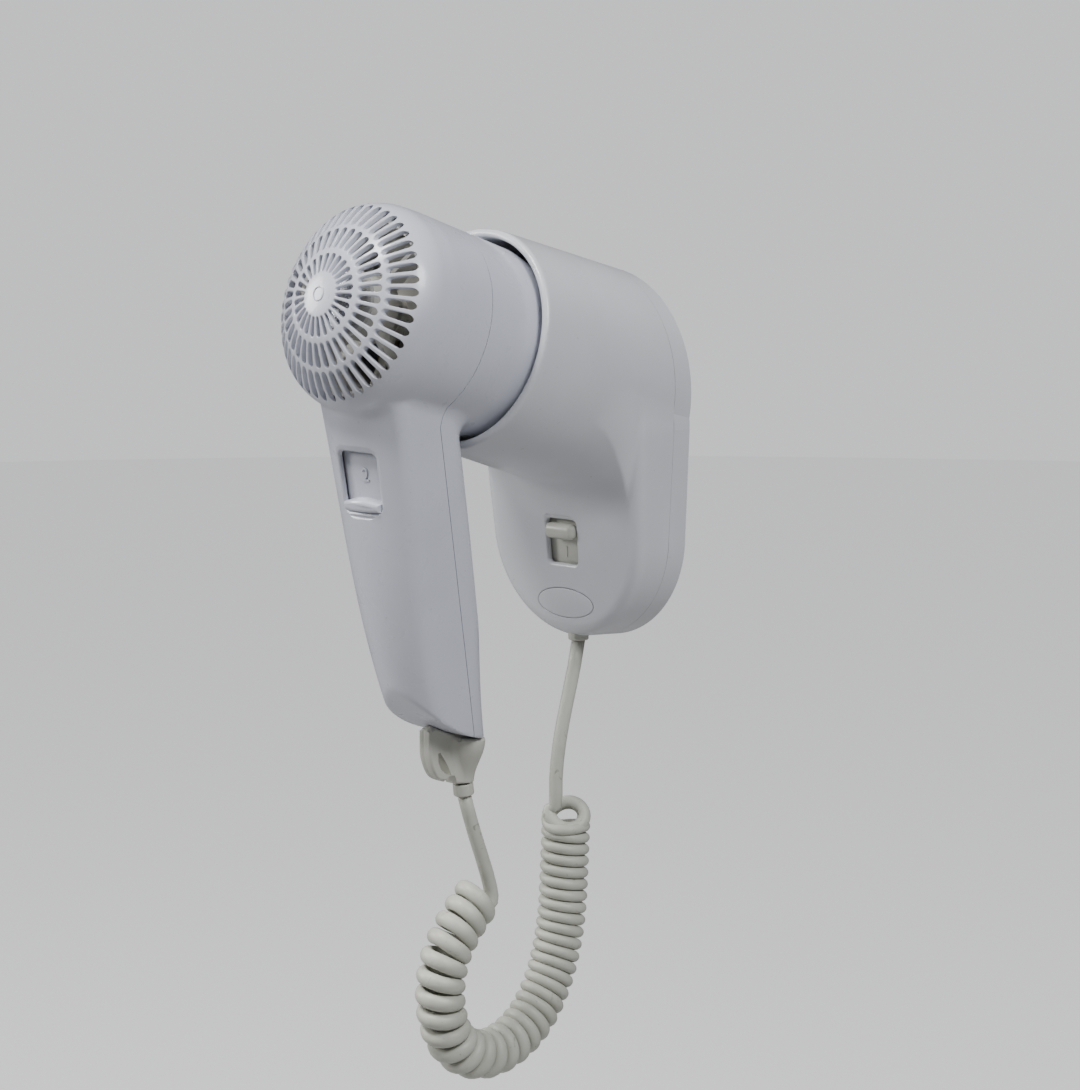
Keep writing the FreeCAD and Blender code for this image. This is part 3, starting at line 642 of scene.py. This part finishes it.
# %% Handset shape
OUTLET_AT, OUTLET_R = -0.030, 0.036
PROFILE_AT = [OUTLET_AT, -0.004, 0.0274, 0.048, 0.090]
PROFILE_R = [OUTLET_R, 0.0416, 0.0431, 0.0442, 0.0442]
DOME_R = 0.0592
DOME_CENTRE_AT = 0.0248
DOME_EDGE_ROUND = 0.005
NECK_ROUND = 0.0075                           # where the handle runs into the barrel
HANDLE_TOP_Z, HANDLE_BOTTOM_Z = 0.040, -0.1255
HANDLE_FRONT = (-0.1582, -0.1199)
HANDLE_CREASE = (-0.1507, -0.1096)
HANDLE_BACK = (-0.1150, -0.0838)
HANDLE_HALF_FRONT = (0.0275, 0.0170)
HANDLE_HALF_BACK = (0.0258, 0.0155)
HANDLE_BOW = 0.0052
HANDLE_BACK_BOW = 0.0016
BUSH_Y = -0.0922
SEAM_TOP = (-0.124, 0.011)
SEAM_SLOPE = 0.2
SEAM_GAP = 0.00016


def barrel(points, inset=0.0):
    x, up, out = in_barrel(points).T
    reach = np.hypot(x, up)
    side = reach - np.interp(out, PROFILE_AT, PROFILE_R) + inset
    dome = np.hypot(reach, out - DOME_CENTRE_AT) - DOME_R + inset
    end = OUTLET_AT - out
    return shared(shared(side, dome, DOME_EDGE_ROUND - inset), end, 0.0008)


def handle_lines(part):
    """Front, crease and back lines and half widths; part is 0 at the top and 1 at the bottom."""
    def at(pair):
        return pair[0] + (pair[1] - pair[0]) * part
    bow = HANDLE_BOW * 6.75 * part ** 2 * (1 - part)
    back = at(HANDLE_BACK) + HANDLE_BACK_BOW * 4 * part * (1 - part)
    return at(HANDLE_FRONT) - bow, at(HANDLE_CREASE) - bow, back, at(HANDLE_HALF_FRONT), at(HANDLE_HALF_BACK)


def handle(points, inset=0.0):
    x, y, z = points.T
    part = np.clip((HANDLE_TOP_Z - z) / (HANDLE_TOP_Z - HANDLE_BOTTOM_Z), -0.1, 1.05)
    front, crease, back, half_front, half_back = handle_lines(part)
    sagitta = crease - front
    crown_round = (half_front ** 2 + sagitta ** 2) / (2 * sagitta)
    crown = np.hypot(x, y - front - crown_round) - crown_round + inset
    run_x, run_y = half_back - half_front, back - crease
    side = ((np.abs(x) - half_front) * run_y - (y - crease) * run_x) / np.hypot(run_x, run_y) + inset
    section = shared(shared(crown, side, 0.004 - inset), y - back + inset, 0.009 - inset)
    lean = (HANDLE_FRONT[1] - HANDLE_FRONT[0] + 6.75 * HANDLE_BOW) / (HANDLE_TOP_Z - HANDLE_BOTTOM_Z)
    toe = (HANDLE_FRONT[1] - y - (z - HANDLE_BOTTOM_Z) * lean) / math.hypot(1.0, lean) + inset
    bottom = HANDLE_BOTTOM_Z + inset - z
    ends = np.maximum(shared(toe, bottom, 0.032 - inset), z - HANDLE_TOP_Z)
    return shared(section, ends, 0.0009)


def handset_distance(inset):
    return melted(lambda p: barrel(p, inset), lambda p: handle(p, inset), NECK_ROUND)


def handset_rough():
    body = rod(0.0405, on_axis(OUTLET_AT + 0.001), on_axis(0.077))
    loops = []
    for part in (0.0, 0.25, 0.5, 0.75, 1.0):
        front, crease, back, half_front, half_back = handle_lines(part)
        z = HANDLE_TOP_Z + (HANDLE_BOTTOM_Z + 0.001 - HANDLE_TOP_Z) * part
        loops.append([(-half_front, crease, z), (-half_front * 0.4, front + 0.001, z),
                      (half_front * 0.4, front + 0.001, z), (half_front, crease, z),
                      (half_back * 0.9, back - 0.001, z), (-half_back * 0.9, back - 0.001, z)])
    return [body, stacked("grip", loops)]


def handle_crown(z):
    return handle_lines((HANDLE_TOP_Z - z) / (HANDLE_TOP_Z - HANDLE_BOTTOM_Z))[0]


def handle_place(z):
    """The frame on the crown of the handle's front: local Y up the handle, local Z outwards."""
    lean = math.atan((handle_crown(z - 0.0005) - handle_crown(z + 0.0005)) / 0.001)
    return Matrix.Translation((0, handle_crown(z), z)) @ Matrix.Rotation(math.pi / 2 + lean, 4, "X")


def screw_line(z, reach_in, reach_out):
    seam = SEAM_TOP[0] + (SEAM_TOP[1] - z) * SEAM_SLOPE
    return (0, seam - reach_in, z), (0, seam + reach_out, z)


def room_side(shift):
    """The space in front of the seam, moved by a shift along the barrel's axis."""
    across = Vector((0, math.cos(AXIS_TURN), math.sin(AXIS_TURN))) * 0.15
    lower = (SEAM_TOP[0] + 0.2 * SEAM_SLOPE - shift, SEAM_TOP[1] - 0.2)
    upper = (SEAM_TOP[0] + across.y - shift, SEAM_TOP[1] + across.z)
    outline = [(SEAM_TOP[0] - shift, SEAM_TOP[1]), lower, (-0.3, lower[1]), (-0.3, upper[1]), upper]
    return stacked("room_side", [[(x, y, z) for y, z in outline] for x in (-0.08, 0.08)])


# %% [markdown]
# The inlet slots stand in three rings. Each slot is a tapered cutter whose
# mouth opens with a small radius and follows the dome, so the ribs that are
# left look moulded and not punched.

# %% Slot cutters
SLOT_RINGS = [(26, 0.0094, 0.0176, 0.0014, 0.0025), (36, 0.0198, 0.0294, 0.0022, 0.0032),
              (46, 0.0306, 0.0412, 0.0028, 0.0036)]
SLOT_ROUND = 0.0003
HUB_R = 0.0088


def dome_height(x, y):
    return DOME_CENTRE_AT + math.sqrt(max(0.0, DOME_R ** 2 - x * x - y * y))


def slot_outline(inner, outer, inner_width, outer_width, growth, steps=5):
    """Points round one slot that lies along local X."""
    small, large = inner_width / 2, outer_width / 2
    points = []
    ends = ((outer - large, large + growth, -0.5), (inner + small, small + growth, 0.5))
    for centre, radius, start in ends:
        for i in range(steps + 1):
            angle = math.pi * (start + i / steps)
            points.append((centre + radius * math.cos(angle), radius * math.sin(angle)))
    return points


def slot_cutter(sizes, angle):
    turn = Matrix.Rotation(angle, 3, "Z")
    loops = []
    for height, growth in flare_levels(0.008, SLOT_ROUND, 3, 0.00006):
        outline = [turn @ Vector((x, y, 0)) for x, y in slot_outline(*sizes, growth)]
        loops.append([(p.x, p.y, dome_height(p.x, p.y) + height) for p in outline])
    return stacked("slot", loops, BARREL)


slots = [slot_cutter(sizes, 2 * math.pi * i / count) for count, *sizes in SLOT_RINGS for i in range(count)]
print("inlet slots:", len(slots))
slot_tool = joined(slots)

# %% Handset shells
SPEED_Z = -0.012
CROWN_ROUND = 0.078                   # twice the radius of the handle's crown at the window
body = skin("handset_skin", handset_rough(), handset_distance(0.0), 0.0011)
hollow = skin("handset_hollow", handset_rough(), handset_distance(WALL), 0.0014)
for z in (-0.047, -0.100):
    hollow = carved(hollow, rod(0.0034, *screw_line(z, 0.05, 0.05), 32))
hollow = carved(hollow, rod(HUB_R, on_axis(0.081), on_axis(0.09)))
body = carved(body, hollow)
body = carved(body, slot_tool)
body = carved(body, flared_hole("speed_window", 0.0112, 0.0125, 0.0028, 0.006, 0.0022, handle_place(SPEED_Z),
                                lambda x, y: -x * x / CROWN_ROUND))
body = carved(body, rod(0.0056, (0, BUSH_Y, -0.14), (0, BUSH_Y, -0.115)))
body = carved(body, rod(OUTLET_R - WALL, on_axis(OUTLET_AT - 0.01), on_axis(OUTLET_AT + 0.008)))
for z in (-0.047, -0.100):
    body = carved(body, rod(0.0014, *screw_line(z, 0.008, 0.04), 32))
    body = carved(body, rod(0.0029, screw_line(z, 0, 0.008)[1], screw_line(z, 0, 0.04)[1], 48))
rear = body.copy()
rear.data = body.data.copy()
bpy.context.scene.collection.objects.link(rear)
body = carved(body, room_side(SEAM_GAP), "INTERSECT")
rear = carved(rear, room_side(-SEAM_GAP))
finished(body, "inlet_half", handset_finish, "handset", ["inlet_shell"])
finished(rear, "outlet_half", handset_finish, "handset", ["outlet_shell"])

# %% [markdown]
# A small raised ring marks the middle of the inlet.

# %% Hub ring
bpy.ops.mesh.primitive_torus_add(major_radius=0.0029, minor_radius=0.00035,
                                 major_segments=64, minor_segments=12)
hub_ring = bpy.context.object
hub_ring.data.transform(BARREL @ Matrix.Translation((0, 0, DOME_CENTRE_AT + DOME_R - 0.00005)))
finished(hub_ring, "hub_ring", handset_finish, "handset")

# %% [markdown]
# ## The sliders
# The holder's slider has a worn thumb bar, rounded at its ends, above a plate
# with a raised bar mark. The handle's slider has an arched ridge below a plate
# with a raised number. Rounded blocks are cubes with a bevel.

# %% Slider tools
SPEED_PLATE_DEPTH = 0.0049
RIDGE_FOOT = -0.0056                          # the ridge starts below the crown of the handle


def softened(piece, radius, segments):
    """Every edge of a piece rounded by a bevel."""
    modifier = piece.modifiers.new("soft", "BEVEL")
    modifier.width = radius
    modifier.segments = segments
    applied(piece, modifier)
    return piece


def moved(piece, place):
    piece.data.transform(place)
    return piece


def thumb_ridge():
    """The handle's ridge: straight below, arched above, and crowned like the handle."""
    columns = 24
    half = 0.0110
    loops = []
    levels = ((RIDGE_FOOT, 0.0), (-0.0004, 0.0), (0.0005, 0.0003), (0.0009, 0.0009), (0.0010, 0.0016))
    for height, shrink in levels:
        low, high = [], []
        for i in range(columns + 1):
            x = (half - shrink) * (2 * i / columns - 1)
            top = height - x * x / CROWN_ROUND
            low.append((x, -0.0124 + shrink, max(top, RIDGE_FOOT)))
            high.append((x, -0.0090 + 0.0016 * (1 - (x / half) ** 2) - shrink, max(top, RIDGE_FOOT)))
        loops.append(low + high[::-1])
    loops[0] = [(x, y, RIDGE_FOOT) for x, y, z in loops[0]]
    return stacked("ridge", loops)


def number_mark(text, size, place):
    bpy.ops.object.text_add()
    mark = bpy.context.object
    mark.data.body = text
    mark.data.size = size
    mark.data.align_x = "CENTER"
    mark.data.align_y = "CENTER"
    mark.data.extrude = 0.0004
    mark.data.bevel_depth = 0.00008
    bpy.ops.object.convert(target="MESH")
    return moved(bpy.context.object, place)


# %% Sliders
main_plate = softened(block((-0.011, -0.012, -0.0044), (0.011, 0.021, -0.0029)), 0.0002, 2)
thumb_bar = softened(block((-0.0086, 0.0014, -0.0034), (0.0086, 0.0084, 0.0030)), 0.0029, 8)
bar_mark = softened(block((-0.0004, -0.0072, -0.0030), (0.0004, -0.0024, -0.0026)), 0.0001, 2)
main_slider = joined([main_plate, thumb_bar, bar_mark])
moved(main_slider, front_place(MAIN_Z))
finished(main_slider, "thumb_slider", beige_finish, "main_switch_slider", ["main_slider"])

speed_plate = softened(block((-0.0119, -0.0285, -SPEED_PLATE_DEPTH - 0.0015),
                             (0.0119, 0.014, -SPEED_PLATE_DEPTH)), 0.0002, 2)
two = number_mark("2", 0.0082, Matrix.Translation((0.001, 0.0022, -SPEED_PLATE_DEPTH)))
speed_slider = joined([speed_plate, thumb_ridge(), two])
moved(speed_slider, handle_place(SPEED_Z))
finished(speed_slider, "ridge_slider", handset_finish, "speed_switch_slider",
         ["speed_slider"])

# %% [markdown]
# ## The cord bush
# The bush is a soft bell under the handle, flat and wide at its top and round
# at its foot. A thick loop stands on its room side, and the two melt into each
# other. A narrow slot parts the loop from the bell, so it can hang on a hook.

# %% Bush
BUSH_TOP_Z, BUSH_FOOT_Z = -0.1258, -0.1465
BUSH_FOOT_Y = -0.0889
CORD_HALF = 0.00305


def bell(points):
    x, y, z = points.T
    share = np.clip((-0.127 - z) / 0.0195, 0.0, 1.0)
    share = share * share * (3 - 2 * share)
    half_x, half_y = 0.0136 - 0.0087 * share, 0.0078 - 0.0030 * share
    middle = -0.0905 + 0.0016 * share
    side = (np.hypot(x / half_x, (y - middle) / half_y) - 1) * half_y
    ends = np.maximum(z - BUSH_TOP_Z, BUSH_FOOT_Z - z)
    return shared(side, ends, 0.0007)


def loop_plate(points):
    x, y, z = points.T
    front = -0.1113 - y
    slant = -0.64 * (y + 0.111) - 0.768 * (z + 0.139)
    outline = shared(shared(front, slant, 0.007), BUSH_FOOT_Z + 0.0002 - z, 0.006)
    outline = np.maximum(outline, np.maximum(z + 0.116, y + 0.089))
    outline = np.maximum(outline, 0.0003 - handle(points))
    parting = 0.00022 * np.exp(-((x + 0.0006) / 0.0004) ** 2)
    return shared(outline + parting, np.abs(x) - 0.0037, 0.0012)


bush_rough = [rod(0.0065, (0, -0.0903, BUSH_TOP_Z), (0, -0.0892, BUSH_FOOT_Z), 48),
              block((-0.011, -0.095, -0.133), (0.011, -0.086, BUSH_TOP_Z)),
              block((-0.0034, -0.110, -0.142), (0.0034, -0.089, -0.1215))]
bush = skin("bush_skin", bush_rough, melted(bell, loop_plate, 0.0030), 0.00045)
slot_side = [(-0.1066, -0.1312), (-0.1066, -0.1350), (-0.1050, -0.1385), (-0.1020, -0.1408),
             (-0.0990, -0.1418), (-0.0997, -0.1400), (-0.1012, -0.1372), (-0.1032, -0.1340),
             (-0.1054, -0.1310)]
bush = carved(bush, stacked("hang_slot", [[(x, y, z) for y, z in slot_side] for x in (-0.02, 0.02)]))
stem = rod(0.0054, (0, BUSH_Y, -0.1275), (0, BUSH_Y, -0.1208), 64)
bush = carved(bush, stem, "UNION")
bush = carved(bush, block((-0.0095, BUSH_Y - 0.006, -0.1231), (0.0095, BUSH_Y + 0.004, -0.1208)), "UNION")
bush = carved(bush, rod(CORD_HALF, (0, BUSH_FOOT_Y + 0.0005, -0.150), (0, BUSH_Y, -0.110), 48))
finished(bush, "hanging_bush", beige_finish, "handset", ["cord_bush"], 40.0)

# %% Collar below the bush
collar_top = Vector((0, BUSH_FOOT_Y, -0.1471))
collar_low = Vector((0, BUSH_FOOT_Y + 0.0007, -0.1522))
collar = softened(rod(0.0045, collar_top, collar_low, 64), 0.0004, 3)
carved(collar, rod(CORD_HALF, collar_top * 2 - collar_low, collar_low * 2 - collar_top, 48))
finished(collar, "bush_ring", beige_finish, "handset", ["bush_collar"])

# %% [markdown]
# ## The floor
# A plain pale disc lies well below the cord. It glows only to the eye, so it
# looks as pale as the room without lighting the dryer from below.

# %% Floor
FLOOR_LEVEL = -0.62
FLOOR_GLOW = 0.72
bpy.ops.mesh.primitive_circle_add(vertices=96, radius=6.0, fill_type="NGON", location=(0, 0, FLOOR_LEVEL))
bpy.ops.object.transform_apply()
floor = bpy.context.object
floor.name = "floor"
floor_finish, floor_tree, floor_shader, floor_place = start_finish("pale_floor", roughness=0.9)
floor_cloud = noise(floor_tree, floor_place, 3.0, 3.0)
floor_tree.links.new(tinted(floor_tree, floor_cloud, (0.42, 0.42, 0.42), (0.40, 0.40, 0.40)),
                     floor_shader.inputs["Base Color"])
floor_ray = floor_tree.nodes.new("ShaderNodeLightPath").outputs["Is Camera Ray"]
floor_shader.inputs["Emission Color"].default_value = (0.97, 0.98, 1.0, 1.0)
floor_tree.links.new(sums(floor_tree, "MULTIPLY", floor_ray, FLOOR_GLOW),
                     floor_shader.inputs["Emission Strength"])
floor.data.materials.append(floor_finish)

# %% [markdown]
# ## The cord's route
# A curly cord is one long round cord: a plain lead from the holder, a coil
# that hangs in a U, and a plain lead up to the handle. Each stretch is drawn
# as a smooth spline through a few chosen points in the plane x = 0. The coil's
# spline is only the middle line of the coil; its turns come next.

# %% Route points and a way to read a spline
HOLDER_LEAD = [(-0.0178, -0.0924), (-0.0202, -0.1040), (-0.0254, -0.1205), (-0.0300, -0.1375),
               (-0.0324, -0.1545), (-0.0316, -0.1674)]
COIL_ROUTE = [(-0.0254, -0.1680), (-0.0266, -0.1960), (-0.0286, -0.2220), (-0.0366, -0.2470),
              (-0.0525, -0.2660), (-0.0775, -0.2730), (-0.0985, -0.2615), (-0.1045, -0.2360),
              (-0.0960, -0.2125), (-0.0785, -0.1980)]
HANDSET_LEAD = [(-0.0882, -0.1523), (-0.0849, -0.1630), (-0.0796, -0.1770), (-0.0744, -0.1900),
                (-0.0712, -0.2010)]


def spline_line(points, steps=12):
    """The points of a smooth open spline that has these control points."""
    curve = bpy.data.curves.new("route", "CURVE")
    curve.dimensions = "3D"
    spline = curve.splines.new("NURBS")
    spline.points.add(len(points) - 1)
    for point, place in zip(spline.points, points):
        point.co = (*place, 1.0)
    spline.order_u = 3
    spline.use_endpoint_u = True
    spline.resolution_u = steps
    carrier = bpy.data.objects.new("route", curve)
    mesh = bpy.data.meshes.new_from_object(carrier)
    line = [vertex.co.copy() for vertex in mesh.vertices]
    bpy.data.meshes.remove(mesh)
    bpy.data.curves.remove(curve)
    return line


def in_plane(route):
    return [Vector((0.0, y, z)) for y, z in route]


def line_length(line):
    return sum((b - a).length for a, b in zip(line, line[1:]))


coil_line = spline_line(in_plane(COIL_ROUTE))
print("coil's middle line is %.0f mm long" % (line_length(coil_line) * 1000))

# %% [markdown]
# ## The coil's turns
# The turns are worked out by a loop that walks along the coil's middle line
# and swings a point round it. They are pressed together in the straight part
# near the holder and open up in the bend. The first turn tips forward into a
# ring where the lead enters, because the coil's weight pulls on it there.

# %% Coil
CORD_DIAMETER = 0.0061
COIL_RADIUS = 0.0112 - CORD_DIAMETER / 2      # from the middle line to the cord's own middle
TURNS = 35
POINTS_PER_TURN = 16
START_ANGLE = math.radians(135)
END_ANGLE = math.radians(180)
TIGHT_PITCH = 0.0051
LOOSE_PITCH = 0.0074
RING_TIP = math.radians(58)
RING_SHIFT = 0.003
ACROSS = Vector((1.0, 0.0, 0.0))
UP = Vector((0.0, 0.0, 1.0))
TO_BACK = Vector((-math.sin(VIEW_TURN), math.cos(VIEW_TURN), 0.0))


def eased(value, low, high):
    share = min(1.0, max(0.0, (value - low) / (high - low)))
    return share * share * (3 - 2 * share)


def along(line, distance):
    """The place and direction at a distance along a line."""
    for start, end in zip(line, line[1:]):
        step = (end - start).length
        if distance <= step:
            return start + (end - start) * (distance / step), (end - start).normalized()
        distance -= step
    return line[-1].copy(), (line[-1] - line[-2]).normalized()


def pitch_at(share):
    """Spacing of the turns, by the share of the coil's length."""
    return TIGHT_PITCH + (LOOSE_PITCH - TIGHT_PITCH) * eased(share, 0.30, 0.62)


def coil_points(line):
    """The cord's middle points through the coil, and the direction outwards at each."""
    long = line_length(line)
    shares = np.linspace(0.0, 1.0, 2001)
    middles = (shares[1:] + shares[:-1]) / 2
    turned = np.concatenate([[0.0], np.cumsum([1.0 / pitch_at(share) for share in middles])])
    whole = TURNS + (END_ANGLE - START_ANGLE) / (2 * math.pi)
    turned *= whole / turned[-1]
    count = int(whole * POINTS_PER_TURN)
    places, outwards = [], []
    for i in range(count + 1):
        turn = whole * i / count
        centre, ahead = along(line, float(np.interp(turn, turned, shares)) * long)
        angle = START_ANGLE + 2 * math.pi * turn
        arm = ACROSS.cross(ahead) * math.cos(angle) - ACROSS * math.sin(angle)
        tip = RING_TIP * (1 - eased(turn, 0.55, 1.55))
        reach = arm.dot(TO_BACK)
        arm += UP * reach * math.sin(tip) - TO_BACK * reach * (1 - math.cos(tip))
        shift = TO_BACK * RING_SHIFT * (eased(turn, 0.6, 1.8) - 1)
        places.append(centre + shift + arm * COIL_RADIUS)
        outwards.append(arm.normalized())
    return places, outwards


coil_places, coil_outwards = coil_points(coil_line)
print("coil points:", len(coil_places))

# %% [markdown]
# ## The cord's tube
# The two leads and the turns are the control points of one spline. A ring of
# points is set round each point of that spline. A ring is as high as the turns'
# spacing there: flatter than round where the turns press on each other, and up
# to 1.18 times the cord's thickness where they are drawn open. Real cord stays
# round there, so the higher rings only close gaps that would show.

# %% Cord tube
RING_SIDES = 16
LEAST_HEIGHT = 0.78                           # of the cord's thickness, where turns press hardest
MOST_HEIGHT = 1.18                            # where the coil is drawn open
controls = in_plane(HOLDER_LEAD) + coil_places + in_plane(HANDSET_LEAD)[::-1]
cord_line = spline_line(controls, 2)
print("cord length %.3f m" % line_length(cord_line))


def outward_at(place_in_controls):
    index = min(len(coil_outwards) - 1, max(0, place_in_controls - len(HOLDER_LEAD)))
    return coil_outwards[index]


def squared_to_line(line):
    """Directions outwards from the coil, square to the cord, and carried on along both leads."""
    aheads = [(b - a).normalized() for a, b in zip([line[0]] + line[:-1], line[1:] + [line[-1]])]
    scale = (len(controls) - 1) / (len(line) - 1)
    first = math.ceil(len(HOLDER_LEAD) / scale)
    last = math.floor((len(HOLDER_LEAD) + len(coil_places) - 1) / scale)
    sides = [None] * len(line)
    for i in range(first, last + 1):
        side = outward_at(round(i * scale))
        sides[i] = (side - aheads[i] * side.dot(aheads[i])).normalized()
    for i in list(range(first - 1, -1, -1)) + list(range(last + 1, len(line))):
        near = sides[i + 1] if i < first else sides[i - 1]
        sides[i] = (near - aheads[i] * near.dot(aheads[i])).normalized()
    return aheads, sides


def turn_heights(line):
    """How high the cord is at each point, as a share of its thickness."""
    scale = (len(line) - 1) / (len(controls) - 1)
    step = round(scale * POINTS_PER_TURN)
    heights = []
    for i, place in enumerate(line):
        gaps = [(line[j] - place).length for j in (i - step, i + step) if 0 <= j < len(line)]
        in_coil = 0 <= i / scale - len(HOLDER_LEAD) < len(coil_places)
        most = MOST_HEIGHT if in_coil else 1.0
        heights.append(min(most, max(LEAST_HEIGHT, 0.99 * min(gaps) / CORD_DIAMETER)))
    return np.convolve(np.pad(heights, 6, "edge"), np.ones(13) / 13, "valid")


def tube(name, line):
    aheads, sides = squared_to_line(line)
    heights = turn_heights(line)
    points, faces = [], []
    for place, ahead, side, height in zip(line, aheads, sides, heights):
        upright = ahead.cross(side)
        for k in range(RING_SIDES):
            angle = 2 * math.pi * k / RING_SIDES
            points.append(place + side * (math.cos(angle) * CORD_DIAMETER / 2)
                          + upright * (math.sin(angle) * CORD_DIAMETER / 2 * height))
    for i in range(len(line) - 1):
        for k in range(RING_SIDES):
            after = (k + 1) % RING_SIDES
            low, high = i * RING_SIDES, (i + 1) * RING_SIDES
            faces.append((low + k, low + after, high + after, high + k))
    faces.append(tuple(reversed(range(RING_SIDES))))
    faces.append(tuple(range((len(line) - 1) * RING_SIDES, len(line) * RING_SIDES)))
    mesh = bpy.data.meshes.new(name)
    mesh.from_pydata(points, [], faces)
    mesh.update()
    tube_map = mesh.uv_layers.new(name="tube")
    for face in mesh.polygons[:-2]:
        for loop, (around, ahead) in zip(face.loop_indices, ((0, 0), (1, 0), (1, 1), (0, 1))):
            ring, side = divmod(face.index, RING_SIDES)
            tube_map.data[loop].uv = ((side + around) / RING_SIDES, (ring + ahead) / POINTS_PER_TURN)
    piece = bpy.data.objects.new(name, mesh)
    bpy.context.scene.collection.objects.link(piece)
    mesh.shade_smooth()
    return piece


cord = tube("curly_cord", cord_line)
cord.data.materials.append(jacket_finish)
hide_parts("cord_holder_lead", "cord_coil", "cord_handset_lead")
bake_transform(cord)
print("cord faces:", len(cord.data.polygons))
